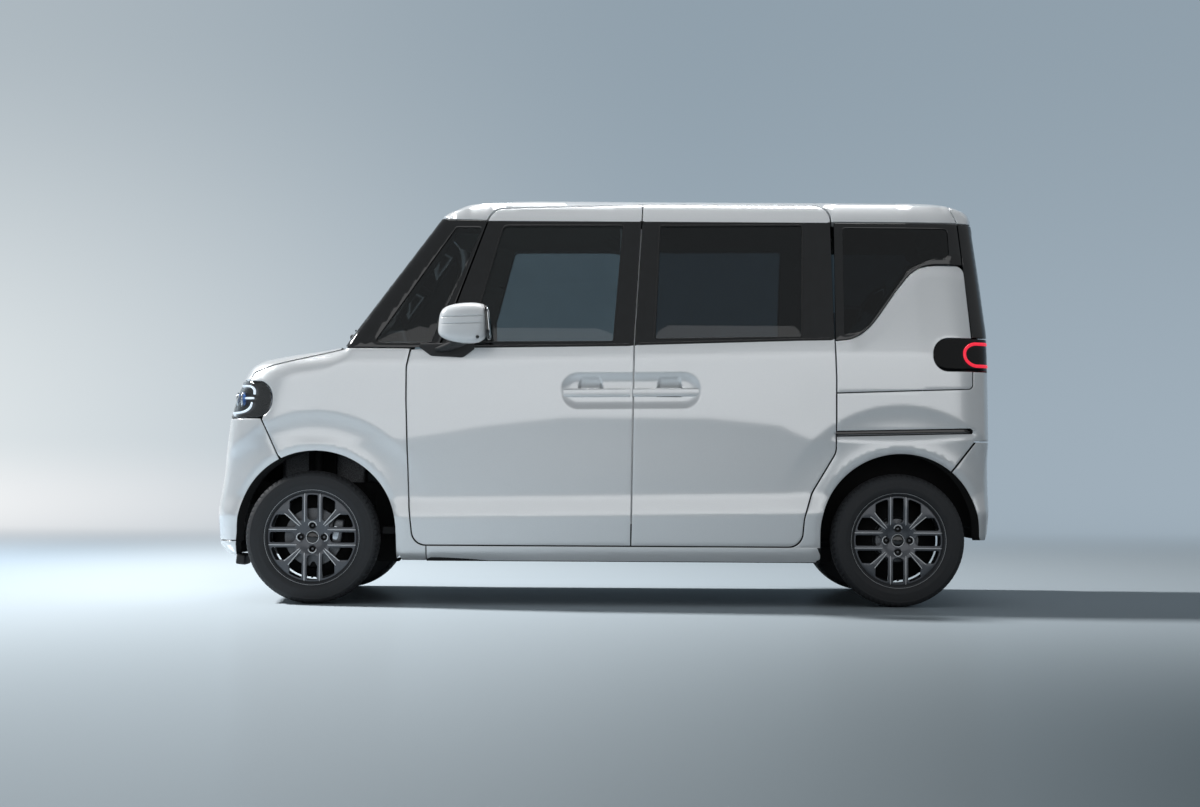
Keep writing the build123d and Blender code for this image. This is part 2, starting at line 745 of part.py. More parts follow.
def rear_axle():
    """Torsion beam with its trailing arms, stub axles and dampers."""
    arm_z, bush_x = 262.0, rear_axle_x - 390
    beam = rod((rear_axle_x - 150, -520, 290), (rear_axle_x - 150, 520, 290), 34)
    arm = rod((bush_x, 465, arm_z), (rear_axle_x - 20, 535, 286), 22)
    plate = cylinder_y(rear_axle_x, axle_height, 70, 548, 572)
    arm_end = block(rear_axle_x - 60, rear_axle_x + 30, 520, 552, 255, 320)
    stub = cylinder_y(rear_axle_x, axle_height, stub_radius, 560, hub_y)
    bush = cylinder_y(bush_x, arm_z, 28, 435, 495)
    hanger = block(bush_x - 18, bush_x + 18, 446, 474, arm_z, floor_top - floor_sheet - seat_gap)
    damper = rod((rear_axle_x - 60, 440, 300), (rear_axle_x - 80, 425, boot_floor - floor_sheet - 40), 20)
    cap = block(rear_axle_x - 105, rear_axle_x - 55, 400, 450,
                boot_floor - floor_sheet - 45, boot_floor - floor_sheet - seat_gap)
    bracket = block(rear_axle_x - 90, rear_axle_x - 20, 425, 552, 270, 315)
    side = arm + plate + arm_end + stub + bush + hanger + damper + bracket + cap
    return beam + side + mirrored(side)


flange = 8.0  # thickness of the rim's flanges


def tyre():
    """Right-hand tyre about the Y axis at the origin."""
    half = tyre_width / 2
    bead = rim_width / 2 - flange - seat_gap
    seat, over_flange = bead_radius + seat_gap, rim_radius + seat_gap
    rows = [
        (seat, -bead, 0), (seat, bead, 0), (over_flange, bead, 0), (over_flange + 3, half - 5, 4),
        (250, half, 30), (tyre_radius - 5, half - 18, 18), (tyre_radius, 20, 300), (tyre_radius, -20, 300),
        (tyre_radius - 5, -half + 18, 18), (250, -half, 30), (over_flange + 3, -half + 5, 4),
        (over_flange, -bead, 0),
    ]
    return revolve(Plane.XY * face_of(rows), axis=Axis.Y)


face_out, face_in = 48.0, 30.0  # wheel face planes, outboard of the wheel centre


def rim():
    """Right-hand wheel about the Y axis at the origin: barrel, face with paired spokes, hub boss."""
    half = rim_width / 2
    lip = bead_radius - 4
    barrel_rows = [
        (bead_radius - 10, -half, 0), (rim_radius, -half, 3), (rim_radius, -half + flange, 0),
        (bead_radius, -half + flange, 0), (bead_radius, half - flange, 0), (rim_radius, half - flange, 0),
        (rim_radius, half, 3), (bead_radius - 6, half, 3), (bead_radius - 12, half - 14, 4),
        (bead_radius - 12, -half, 0),
    ]
    barrel = revolve(Plane.XY * face_of(barrel_rows), axis=Axis.Y)
    disc = cylinder_y(0, 0, lip, face_in, face_out)
    slot_half, spoke_half, petal = 20.0, 46.0, 88.0
    reach = bead_radius - 22
    windows = None
    for quarter in range(4):
        centre_slot = side_prism(
            [(-slot_half, 76, 8), (slot_half, 76, 8), (slot_half, reach - 4, 6), (-slot_half, reach - 4, 6)],
            face_in - 5, face_out + 5,
        )
        side_slot = side_prism(
            [(spoke_half, 74, 4), (petal, 112, 4), (petal, reach - 26, 8), (spoke_half, reach - 8, 6)],
            face_in - 5, face_out + 5,
        )
        group = centre_slot + side_slot + side_slot.mirror(Plane.YZ)
        group = group.rotate(Axis.Y, 90 * quarter)
        windows = group if windows is None else windows + group
    boss = cylinder_y(0, 0, 68, -22, face_out - 2)
    bolt_ring = [
        cylinder_y(
            bolt_circle / 2 * math.cos(math.radians(360 / wheel_bolts * i)),
            bolt_circle / 2 * math.sin(math.radians(360 / wheel_bolts * i)), 12, face_out - 22, face_out + 10,
        )
        for i in range(wheel_bolts)
    ]
    bore = cylinder_y(0, 0, stub_radius + seat_gap, -100, hub_y - wheel_y + 2 * seat_gap)
    return (barrel + disc + boss) - windows - bolt_ring - bore


def placed_wheel(shape, axle_x, right):
    shape = shape if right else mirrored(shape)
    return Pos(axle_x, wheel_y if right else -wheel_y, axle_height) * shape


# ---------------------------------------------------------------- cabin
def dashboard():
    front = bulkhead_high_x + 20 + seat_gap
    low = bulkhead_step_z + seat_gap
    rows = [
        (front, low, 0), (front, cowl_z - 70, 20), (from_front(420), cowl_z - 62, 40),
        (from_front(525), cowl_z - 118, 30), (from_front(540), 860, 30), (from_front(470), low, 20),
    ]
    half = post_inner_y - gap
    panel = side_prism(rows, -half, half)
    column = rod(tuple(c - 200 * a for c, a in zip(wheel_hub, column_axis)), wheel_hub, 34)
    return panel + column


driver_y = 330.0
wheel_tilt = 62.0  # steering wheel plane from the floor
wheel_centre = (from_front(655), driver_y, 985.0)
column_axis = (math.cos(math.radians(90 - wheel_tilt)), 0.0, math.sin(math.radians(90 - wheel_tilt)))
stem_end = 29.0  # steering wheel's stem behind its centre
wheel_hub = tuple(c - (stem_end + seat_gap) * a for c, a in zip(wheel_centre, column_axis))


def steering_wheel():
    """Rim, three spokes and a centre pad on the steering column's axis."""
    plane = Plane(origin=wheel_centre, x_dir=(0, 1, 0), z_dir=column_axis)
    ring_radius, ring_thick = 178.0, 15.0
    ring = plane * Torus(ring_radius, ring_thick)
    pad = plane * Cylinder(52, 34)
    spokes = [
        plane * Pos(x, y, 0) * Box(w, h, 16)
        for x, y, w, h in ((100, 0, 150, 30), (-100, 0, 150, 30), (0, -100, 34, 150))
    ]
    stem = plane * Pos(0, 0, -stem_end / 2 - 6) * Cylinder(20, stem_end - 12)
    return ring + pad + spokes + stem


def front_seat():
    """Left front seat: cushion, back and headrest on its base."""
    x0, y0, y1 = from_front(790), -590.0, -75.0
    base = block(x0 + 60, x0 + 440, y0 + 60, y1 - 60, floor_top + seat_gap, floor_top + 215)
    cushion = rounded_block(x0, x0 + 500, y0, y1, floor_top + 210, floor_top + 360, 50)
    back_rows = [
        (x0 + 400, floor_top + 330, 40), (x0 + 530, floor_top + 860, 60),
        (x0 + 635, floor_top + 860, 50), (x0 + 545, floor_top + 300, 50),
    ]
    back = side_prism(back_rows, y0 + 15, y1 - 15)
    head_rows = [
        (x0 + 545, floor_top + 880, 35), (x0 + 570, floor_top + 1075, 35),
        (x0 + 650, floor_top + 1075, 35), (x0 + 635, floor_top + 880, 35),
    ]
    middle = (y0 + y1) / 2
    head = side_prism(head_rows, middle - 135, middle + 135)
    stalks = [
        rod((x0 + 585, middle + side, floor_top + 820), (x0 + 596, middle + side, floor_top + 900), 7)
        for side in (-60, 60)
    ]
    return base + cushion + back + head + stalks


def rear_seat():
    x0 = rear_axle_x - 790
    half = 470.0
    cushion = rounded_block(x0, x0 + 480, -half, half, floor_top + 200, floor_top + 340, 45)
    leg = block(x0 + 60, x0 + 300, -half + 40, half - 40, floor_top + seat_gap, floor_top + 210)
    back_rows = [
        (x0 + 400, floor_top + 300, 40), (x0 + 520, floor_top + 810, 50),
        (x0 + 615, floor_top + 810, 45), (x0 + 530, floor_top + 265, 45),
    ]
    back = side_prism(back_rows, -half, half)
    shape = cushion + leg + back
    for middle in (-250.0, 250.0):
        head_rows = [
            (x0 + 528, floor_top + 830, 30), (x0 + 545, floor_top + 985, 30),
            (x0 + 615, floor_top + 985, 30), (x0 + 610, floor_top + 830, 30),
        ]
        head = side_prism(head_rows, middle - 120, middle + 120)
        stalks = [
            rod((x0 + 568, middle + side, floor_top + 780), (x0 + 574, middle + side, floor_top + 850), 7)
            for side in (-55, 55)
        ]
        shape = shape + head + stalks
    return shape


# ---------------------------------------------------------------- outside fittings
def door_mirror():
    """Left door mirror: a housing on an arm from the front corner of the door's window."""
    x0, x1 = from_front(548), from_front(770)
    y_in, y_out = -inside(-38), -inside(-205)
    housing = block(x0, x1, y_out, y_in, belt_front + 8, belt_front + 178)
    housing = fillet(housing.edges().filter_by(Axis.Y), 45)
    housing = fillet(housing.faces().sort_by(Axis.X)[0].edges(), 22)
    arm = block(x0 + 40, x1 - 40, y_in - 60, -inside(22), belt_front - 32, belt_front + 14)
    return housing + (arm - end_prism(section(-seat_gap, 0, 0), front_x, rear_x))


def engine_block():
    half_length = 190.0
    return rounded_block(
        front_axle_x - half_length, front_axle_x + half_length, -engine_half, engine_half, 300, 830, 20
    )


def fuel_tank():
    return rounded_block(from_front(820), from_front(1480), -380, 380, 205, floor_top - floor_sheet - seat_gap, 25)


def exhaust():
    pipe_z, pipe_y, pipe_radius = 262.0, 430.0, 22.0
    points = [
        (from_front(190) + seat_gap, 200, 335), (from_front(225), 200, 335), (from_front(275), 200, pipe_z),
        (from_front(560), 200, pipe_z), (from_front(760), pipe_y, pipe_z),
        (rear_axle_x - 620, pipe_y, pipe_z), (rear_axle_x - 460, 360, pipe_z),
    ]
    path = FilletPolyline(*points, radius=[30, 40, 120, 120, 120])
    pipe = sweep(Plane(origin=path @ 0, z_dir=path % 0) * Circle(pipe_radius), path=path)
    hangers = [
        block(x, x + 30, pipe_y - 8, pipe_y + 8, pipe_z, floor_top - floor_sheet - seat_gap)
        for x in (from_front(900), rear_axle_x - 700)
    ]
    return pipe + hangers


def export(shape, name):
    export_step(shape, os.path.join("parts", name + ".step"))


def main():
    os.makedirs("parts", exist_ok=True)
    left_door, left_rear = front_door(), rear_door()
    quarter = quarter_panel()
    fender, pillar = front_fender(), front_pillar()
    gate = tailgate()
    gate_opening = end_prism(gate_glass_rows, from_rear(200), rear_x + beyond)
    gate_glass = tailgate_glass_layer() & end_prism(
        gate_glass_rows, from_rear(200), rear_x + beyond, -seat_gap
    )
    front_sheet = glass_layer(front_glass_rows, -seat_gap)
    rear_sheet = glass_layer(rear_glass_rows, -seat_gap)
    quarter_sheets = solids_of(
        glass_layer(front_quarter_rows, -seat_gap), glass_layer(rear_quarter_rows, -seat_gap)
    )
    nodes = {
        "floor_pan": floor_pan(),
        "roof_panel": roof_panel(),
        "front_pillars": solids_of(pillar, mirrored(pillar)),
        "centre_pillars": solids_of(b_pillar(), mirrored(b_pillar())),
        "scuttle": scuttle(),
        "wheel_housings": wheel_housings(),
        "front_fender_left": fender,
        "front_fender_right": mirrored(fender),
        "quarter_panel_left": quarter,
        "quarter_panel_right": mirrored(quarter),
        "front_door_left": left_door,
        "front_door_right": mirrored(left_door),
        "rear_door_left": left_rear,
        "rear_door_right": mirrored(left_rear),
        "front_door_glass_left": front_sheet,
        "front_door_glass_right": mirrored(front_sheet),
        "rear_door_glass": solids_of(rear_sheet, mirrored(rear_sheet)),
        "quarter_glass": solids_of(quarter_sheets, mirrored(quarter_sheets)),
        "windscreen": windscreen(),
        "bonnet": bonnet(),
        "tailgate": gate - gate_opening - plate_holes(rear_x - beyond, rear_x + beyond, rear_plate_z),
        "tailgate_glass": gate_glass,
        "front_bumper": front_bumper(),
        "rear_bumper": rear_bumper(),
        "headlamps": headlamps(),
        "tail_lamps": tail_lamps(),
        "door_mirror_left": door_mirror(),
        "door_mirror_right": mirrored(door_mirror()),
        "dashboard": dashboard(),
        "steering_wheel": steering_wheel(),
        "front_seats": solids_of(front_seat(), mirrored(front_seat())),
        "rear_seat": rear_seat(),
        "front_subframe": front_subframe(),
        "knuckle_left": mirrored(knuckle()),
        "knuckle_right": knuckle(),
        "rear_axle": rear_axle(),
        "engine_block": engine_block(),
        "fuel_tank": fuel_tank(),
        "exhaust_pipe": exhaust(),
    }
    one_tyre, one_rim = tyre(), rim()
    for end, axle_x in (("front", front_axle_x), ("rear", rear_axle_x)):
        for side, right in (("left", False), ("right", True)):
            nodes[f"tyre_{end}_{side}"] = placed_wheel(one_tyre, axle_x, right)
            nodes[f"wheel_{end}_{side}"] = placed_wheel(one_rim, axle_x, right)
    for name, shape in nodes.items():
        export(shape, name)


if __name__ == "__main__":
    main()
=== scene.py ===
import math
import json
import bpy
import numpy as np
from mathutils import Vector, Matrix
from mathutils.geometry import delaunay_2d_cdt

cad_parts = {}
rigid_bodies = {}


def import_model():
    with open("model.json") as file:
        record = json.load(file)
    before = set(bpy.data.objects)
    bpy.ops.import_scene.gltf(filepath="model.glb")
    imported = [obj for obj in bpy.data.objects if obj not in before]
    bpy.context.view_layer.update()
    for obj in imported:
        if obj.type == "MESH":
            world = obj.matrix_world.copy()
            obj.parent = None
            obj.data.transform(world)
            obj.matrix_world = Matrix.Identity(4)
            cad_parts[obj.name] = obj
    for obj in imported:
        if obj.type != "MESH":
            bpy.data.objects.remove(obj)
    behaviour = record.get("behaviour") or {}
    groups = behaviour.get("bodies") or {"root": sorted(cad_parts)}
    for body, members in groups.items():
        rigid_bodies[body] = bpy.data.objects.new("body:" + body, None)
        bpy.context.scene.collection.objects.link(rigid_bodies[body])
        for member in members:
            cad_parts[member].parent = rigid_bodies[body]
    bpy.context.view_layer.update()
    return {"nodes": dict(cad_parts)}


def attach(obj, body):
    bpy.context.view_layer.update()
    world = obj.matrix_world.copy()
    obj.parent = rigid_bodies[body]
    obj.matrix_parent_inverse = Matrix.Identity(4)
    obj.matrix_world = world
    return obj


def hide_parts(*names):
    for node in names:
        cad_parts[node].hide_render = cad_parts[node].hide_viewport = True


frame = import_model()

nodes = frame["nodes"]
mm = 0.001  # every shape below is worked out in millimetres and stored in metres
print("stage: frame loaded")


# camera

camera = {"place": (0.024, -10.3, 0.608), "pitch": 1.556, "roll": 0.34, "lens": 66.84, "sensor": 36.0,
          "shiftX": 0.0067, "reach": 200.0}


def makeCamera(c):
    # place in metres, pitch and roll in degrees from a level look along y
    data = bpy.data.cameras.new("studioCamera")
    data.lens, data.sensor_width, data.sensor_fit = c["lens"], c["sensor"], "HORIZONTAL"
    data.shift_x = -c["shiftX"]
    data.clip_end = c["reach"]
    eye = bpy.data.objects.new("studioCamera", data)
    turn = Matrix.Rotation(math.radians(90 + c["pitch"]), 4, "X") @ Matrix.Rotation(math.radians(c["roll"]), 4, "Z")
    eye.matrix_world = Matrix.Translation(c["place"]) @ turn
    bpy.context.scene.collection.objects.link(eye)
    bpy.context.scene.camera = eye


makeCamera(camera)


# materials

def linear(code):
    # sRGB hex to linear: c/12.92 below 0.04045, else ((c + 0.055)/1.055)^2.4
    channels = [int(code[i:i + 2], 16) / 255 for i in (1, 3, 5)]
    return tuple(c / 12.92 if c <= 0.04045 else ((c + 0.055) / 1.055) ** 2.4 for c in channels) + (1.0,)


def addNode(tree, kind, inputs=None, links=None, **settings):
    # one node with its settings, its fixed inputs and its incoming links
    node = tree.nodes.new(kind)
    for key, value in settings.items():
        setattr(node, key, value)
    for key, value in (inputs or {}).items():
        node.inputs[key].default_value = value
    for key, (source, socket) in (links or {}).items():
        tree.links.new(source.outputs[socket], node.inputs[key])
    return node


def finish(name, tone, other, grain, rough, bump=0.0, pattern="noise", stretch=(1, 1, 1), contrast=(0.35, 0.65),
           **shader):
    # two tones mixed by a procedural pattern whose cell is "grain" millimetres on Object coordinates;
    # the same pattern moves the roughness between its two values and lifts the surface by "bump" millimetres
    material = bpy.data.materials.new(name)
    material.use_nodes = True
    tree = material.node_tree
    tree.nodes.clear()
    place = addNode(tree, "ShaderNodeTexCoord")
    mapping = addNode(tree, "ShaderNodeMapping", {"Scale": stretch}, {"Vector": (place, "Object")})
    scale = 1.0 / (grain * mm)
    if pattern == "noise":
        source = addNode(tree, "ShaderNodeTexNoise", {"Scale": scale, "Detail": 3.0}, {"Vector": (mapping, "Vector")})
        out = (source, "Fac")
    elif pattern == "cells":
        source = addNode(tree, "ShaderNodeTexVoronoi", {"Scale": scale}, {"Vector": (mapping, "Vector")})
        out = (source, "Distance")
    else:
        # woven: two wave patterns across each other, threads "grain" apart
        threads = [addNode(tree, "ShaderNodeTexWave", {"Scale": scale / 6.283}, {"Vector": (mapping, "Vector")},
                           bands_direction=way)
                   for way in ("X", "DIAGONAL")]
        source = addNode(tree, "ShaderNodeMath", None, {0: (threads[0], "Fac"), 1: (threads[1], "Fac")},
                         operation="MULTIPLY")
        out = (source, "Value")
    level = addNode(tree, "ShaderNodeMapRange", {"From Min": contrast[0], "From Max": contrast[1]}, {"Value": out})
    mix = addNode(tree, "ShaderNodeMixRGB", {"Color1": linear(tone), "Color2": linear(other)},
                  {"Fac": (level, "Result")})
    roughness = addNode(tree, "ShaderNodeMapRange", {"To Min": rough[0], "To Max": rough[1]},
                        {"Value": (level, "Result")})
    bsdf = addNode(tree, "ShaderNodeBsdfPrincipled", shader,
                   {"Base Color": (mix, "Color"), "Roughness": (roughness, "Result")})
    if bump:
        raised = addNode(tree, "ShaderNodeBump", {"Strength": 1.0, "Distance": bump * mm},
                         {"Height": (level, "Result")})
        tree.links.new(raised.outputs["Normal"], bsdf.inputs["Normal"])
    end = addNode(tree, "ShaderNodeOutputMaterial")
    tree.links.new(bsdf.outputs["BSDF"], end.inputs["Surface"])
    return material


coat = lambda weight, rough: {"Coat Weight": weight, "Coat Roughness": rough}
clear = lambda ior: {"Transmission Weight": 1.0, "IOR": ior}
glow = lambda tone, strength: {"Emission Color": linear(tone), "Emission Strength": strength}

materials = {
    # pearl enamel under clear lacquer: a fine flake that barely shifts the white, sharp coat reflections
    "paint": finish("pearlEnamel", "#E9EBEC", "#E1E4E7", 1.2, (0.3, 0.36), Metallic=0.5, **coat(1.0, 0.06)),
    # solid enamel of the mirror housings: the same white without flake
    "solidPaint": finish("solidEnamel", "#E6E8E9", "#DFE2E5", 1.2, (0.3, 0.36), **coat(0.5, 0.1)),
    # gloss black moulded acrylic and film on the pillars: deep, smooth, hard reflections
    "gloss": finish("pianoBlackAcrylic", "#0B0C0D", "#101113", 40, (0.06, 0.1), **coat(0.5, 0.03)),
    # grained polypropylene for cowl, lower lip and wiper arms: fine leather-like grain, dull
    "plastic": finish("grainedPolypropylene", "#16181A", "#1D1F21", 2.0, (0.5, 0.62), 0.12, "cells"),
    # extruded EPDM rubber seals: matt black with faint bloom
    "rubber": finish("extrudedRubber", "#0C0D0E", "#141516", 6, (0.6, 0.75), 0.03),
    # tyre compound: matt carbon black, slightly dusty, ground flashes in the moulded side
    "tyre": finish("tyreCompound", "#222326", "#2D2F32", 14, (0.62, 0.8), 0.15),
    # dark metallic lacquer on cast aluminium: satin grey with a fine flake
    "wheelGrey": finish("darkMetallicLacquer", "#4C4F54", "#585B61", 1.5, (0.3, 0.42), Metallic=0.5,
                        **coat(0.4, 0.12)),
    # diamond-cut aluminium edges: bright turned lines under clear lacquer
    "cutEdge": finish("diamondCutAluminium", "#E4E6E8", "#CFD2D5", 1.0, (0.28, 0.36), 0.02, stretch=(1, 6, 1),
                      Metallic=0.2),
    # machined cast iron and die-cast aluminium of the brakes: mid grey, turned marks
    "castMetal": finish("machinedCastMetal", "#6A6C6F", "#55575A", 2.5, (0.35, 0.5), 0.05, Metallic=1.0),
    # wet-sprayed underbody sheet steel: dark grey with stone-chip texture
    "chassis": finish("coatedSheetSteel", "#08090A", "#0E0F10", 9, (0.6, 0.8), 0.25, **{"Specular IOR Level": 0.2}),
    # flocked needle felt of the wheel liners: soft black fibre; the same black is put on the walls at the arch and
    # shut-line edges of the outer panels as painted shade in the gaps, where the real edges are painted
    "felt": finish("needleFelt", "#050506", "#0A0A0B", 3, (0.85, 0.95), 0.3),
    # galvanised body steel behind the trim: grey primer
    "structure": finish("primedSteel", "#5B5F63", "#676B6F", 12, (0.45, 0.6), 0.05),
    # injection-moulded dashboard: charcoal with a leather grain
    "trim": finish("leatherGrainPolymer", "#26282B", "#303236", 3.2, (0.5, 0.65), 0.18, "cells"),
    # light warm-grey moulded trim of door linings and headlining
    "lining": finish("knitHeadliner", "#9A9791", "#8C8983", 2.4, (0.85, 0.95), 0.15, "weave"),
    # woven polyester seat fabric: thread pairs drawn 4 mm apart so they show, with a soft fibre sheen
    "fabric": finish("wovenPolyester", "#3A3D42", "#4B4E54", 4.0, (0.8, 0.92), 0.5, "weave", contrast=(0.1, 0.7),
                     **{"Sheen Weight": 0.35, "Sheen Roughness": 0.4}),
    # needle-punched nylon carpet
    "carpet": finish("needlePunchCarpet", "#111214", "#1A1B1D", 3.0, (0.9, 0.98), 0.8),
    # cast aluminium engine parts with sand texture
    "engine": finish("sandCastAluminium", "#77797C", "#5E6063", 6, (0.45, 0.65), 0.3, Metallic=0.9),
    # blow-moulded fuel tank polyethylene
    "tank": finish("blowMouldedTank", "#141517", "#1E2022", 20, (0.4, 0.55), 0.2),
    # aluminised exhaust steel: dull silver with brown heat bloom
    "exhaust": finish("aluminisedSteel", "#7C756C", "#8D8B88", 30, (0.35, 0.55), 0.05, Metallic=1.0),
    # tinted tempered glass, front: grey-green, glass thin and polished
    "glassFront": finish("tintedGlass", "#97A3A7", "#94A0A4", 60, (0.0, 0.005), **clear(1.5)),
    # privacy glass behind the middle pillar: much darker
    "glassRear": finish("privacyGlass", "#6C767B", "#697378", 60, (0.0, 0.005), **clear(1.5)),
    # film over the cargo glass: nearly black
    "glassCargo": finish("cargoPrivacyGlass", "#454D51", "#40484C", 60, (0.0, 0.005), **clear(1.5)),
    # clear polycarbonate lamp covers
    "lens": finish("clearPolycarbonate", "#F2F5F7", "#ECF0F3", 80, (0.0, 0.01), **clear(1.45)),
    # smoked polycarbonate over the tail lamps
    "smokedLens": finish("smokedPolycarbonate", "#4A4346", "#463F43", 80, (0.0, 0.01), **clear(1.45)),
    # light guide of the headlamp: milky acrylic that glows
    "lightGuide": finish("opalLightGuide", "#F4F8FB", "#E9F1F7", 20, (0.2, 0.3), **glow("#E8F4FF", 0.9)),
    # coated projector optics: their blue-violet reflection painted into the base colour
    "projector": finish("coatedOptics", "#2C5CA8", "#5B93DE", 12, (0.05, 0.1), **coat(1.0, 0.02)),
    # red light guide
    "redGuide": finish("redLightGuide", "#E1283C", "#C81E32", 16, (0.2, 0.3), **glow("#FF3048", 0.7)),
    # vacuum-metallised reflector
    "reflector": finish("metallisedReflector", "#C9CDD2", "#B4B9BF", 10, (0.08, 0.16), Metallic=1.0),
    # blank plates: white lacquered aluminium sheet
    "plate": finish("lacqueredSheet", "#E6E7E6", "#DDDEDD", 8, (0.35, 0.45), 0.02),
    # mirror glass: silvered
    "mirrorGlass": finish("silveredGlass", "#E8EBEE", "#E2E5E8", 60, (0.0, 0.01), Metallic=1.0),
}
print("stage: materials")


# outlines in the plane

# how much of a run a rounded corner may use up, next to a sharp corner and next to a rounded one
loneShare, sharedShare = 0.97, 0.46
arcTurn = 0.12  # most radians between two points of an arc
chunk = 4000  # points worked on at once


def roundedLoop(rows, step=9.0):
    # each corner (a, b, radius) becomes an arc tangent to both runs, kept within the room that its neighbours leave
    p = np.array([r[:2] for r in rows], float)
    parts = []
    for i, row in enumerate(rows):
        here, back, ahead = p[i], p[i - 1] - p[i], p[(i + 1) % len(rows)] - p[i]
        lengthBack, lengthAhead = np.hypot(*back), np.hypot(*ahead)
        back, ahead = back / lengthBack, ahead / lengthAhead
        half = math.acos(np.clip(back @ ahead, -1, 1)) / 2
        if row[2] == 0 or half > math.radians(89.5):
            parts.append(here[None])
            continue
        roomBack = (sharedShare if rows[i - 1][2] else loneShare) * lengthBack
        roomAhead = (sharedShare if rows[(i + 1) % len(rows)][2] else loneShare) * lengthAhead
        reach = min(row[2] / math.tan(half), roomBack, roomAhead)
        radius = reach * math.tan(half)
        middle = here + (ahead + back) / np.hypot(*(ahead + back)) * radius / math.sin(half)
        first, last = here + back * reach - middle, here + ahead * reach - middle
        a0 = math.atan2(first[1], first[0])
        turn = (math.atan2(last[1], last[0]) - a0 + math.pi) % (2 * math.pi) - math.pi
        count = max(2, math.ceil(abs(turn) * radius / step), math.ceil(abs(turn) / arcTurn)) + 1
        angles = a0 + turn * np.linspace(0, 1, count)
        parts.append(middle + radius * np.stack([np.cos(angles), np.sin(angles)], 1))
    return np.concatenate(parts)


def divided(line, step, closed=True):
    # the same line with every run cut into equal parts no longer than the step
    ends = np.roll(line, -1, 0) if closed else line[1:]
    starts = line if closed else line[:-1]
    parts = []
    for a, b in zip(starts, ends):
        count = max(1, math.ceil(np.linalg.norm(b - a) / step))
        parts.append(a + (b - a) * (np.arange(count) / count)[:, None])
    return np.concatenate(parts if closed else parts + [line[-1:]])


def nearest(points, line, closed=True):
    # distance from each point to the nearest run of the line
    a = line if closed else line[:-1]
    run = (np.roll(line, -1, 0) if closed else line[1:]) - a
    square = (run ** 2).sum(1) + 1e-9
    out = np.empty(len(points))
    for i in range(0, len(points), chunk):
        gap = points[i:i + chunk, None] - a
        t = np.clip((gap * run).sum(2) / square, 0, 1)
        out[i:i + chunk] = np.sqrt(((gap - t[..., None] * run) ** 2).sum(2)).min(1)
    return out


def insideLoop(points, loop):
    # even-odd rule: a ray to the right crosses the loop an odd number of times
    a, b = loop, np.roll(loop, -1, 0)
    out = np.empty(len(points), bool)
    for i in range(0, len(points), chunk):
        x, y = points[i:i + chunk, :1], points[i:i + chunk, 1:]
        over = (a[:, 1] > y) != (b[:, 1] > y)
        rise = np.where(np.abs(b[:, 1] - a[:, 1]) < 1e-9, 1e-9, b[:, 1] - a[:, 1])
        out[i:i + chunk] = (over & (x < a[:, 0] + (y - a[:, 1]) * (b[:, 0] - a[:, 0]) / rise)).sum(1) % 2 == 1
    return out


def smooth(low, high, value):
    # 0 up to "low", 1 from "high" on, 3t^2 - 2t^3 between them
    t = np.clip((value - low) / (high - low), 0, 1)
    return t * t * (3 - 2 * t)


def outlineField(loop, cell=8.0, margin=170.0):
    # signed distance from the loop (negative inside), kept on a square grid and read by a cubic blend
    low = loop.min(0) - margin
    count = np.ceil((loop.max(0) + margin - low) / cell).astype(int) + 1
    u, v = np.meshgrid(low[0] + cell * np.arange(count[0]), low[1] + cell * np.arange(count[1]), indexing="ij")
    grid = np.stack([u.ravel(), v.ravel()], 1)
    table = (nearest(grid, loop) * np.where(insideLoop(grid, loop), -1, 1)).reshape(count)

    def weights(t):
        # the four cubic weights of neighbouring grid values at a share t between the middle two
        return (((2 - t) * t - 1) * t / 2, ((3 * t - 5) * t * t + 2) / 2, ((4 - 3 * t) * t + 1) * t / 2,
                (t - 1) * t * t / 2)

    def read(u, v):
        fu = np.clip((u - low[0]) / cell, 1, count[0] - 2.001)
        fv = np.clip((v - low[1]) / cell, 1, count[1] - 2.001)
        iu, iv = fu.astype(int), fv.astype(int)
        wu, wv = weights(fu - iu), weights(fv - iv)
        return sum(wu[i] * wv[j] * table[iu + i - 1, iv + j - 1] for i in range(4) for j in range(4))
    return read


# the body as one smooth form

form = {"halfWidth": 737.5, "frontX": -1697.5, "rearX": 1697.5, "frontArch": -1233.0, "rearArch": 1287.0,
        "archZ": 312.0, "archRadius": 346.0, "lipWidth": 27.0, "lipDrop": 7.0,
        "scoopDepth": 12.0, "frontScoop": 514.0, "rearScoop": 551.0, "handleDepth": 12.0, "cupDepth": 20.0,
        "bowlMiddle": 122.0, "bowlRadius": 77.0, "bowlSlope": 40.0, "bevelDepth": 9.0, "bevelWidth": 48.0,
        "railDepth": 7.0}

halfSection = [(688.5, 150, 0), (710.5, 257, 0), (730.0, 392, 14), (716.0, 474, 90), (737.5, 745, 190),
               (729.5, 1050, 70),
               (720, 1108, 60), (621.5, 1662, 150), (587.5, 1754, 60), (217.5, 1790, 1800)]
sectionRows = halfSection + [(-a, b, r) for a, b, r in reversed(halfSection)]
profileRows = [(-1635.5, 187, 20), (-1689.5, 250, 40), (-1697.5, 400, 150), (-1667.5, 610, 150), (-1645.5, 800, 60),
               (-1601.5, 972, 60), (-1495, 1050, 200), (-1117, 1108, 0), (-693, 1694, 90), (-565, 1756, 300),
               (-95, 1796, 900),
               (455, 1830, 0), (1100, 1830, 0), (1500, 1768, 300), (1631.5, 1712, 40), (1635.5, 1662, 60),
               (1687.5, 1180, 200),
               (1697.5, 420, 150), (1689.5, 300, 30), (1637.5, 187, 20)]
planRows = [(-1697.5, -330, 900), (-1668, -630, 130), (-1500, -728.5, 500), (-1305, -737.5, 0), (1375, -737.5, 0),
            (1560, -723.5, 300), (1675.5, -659.5, 90), (1697.5, -507.5, 400)]
sectionField = outlineField(roundedLoop(sectionRows))
profileField = outlineField(roundedLoop(profileRows))
planLoop = roundedLoop(planRows + [(a, -b, r) for a, b, r in reversed(planRows)], 3.0)
planSide = planLoop[planLoop[:, 1] < -200]
planSide = planSide[np.argsort(planSide[:, 0])]
planX, planHalf = planSide[:, 0], -planSide[:, 1]
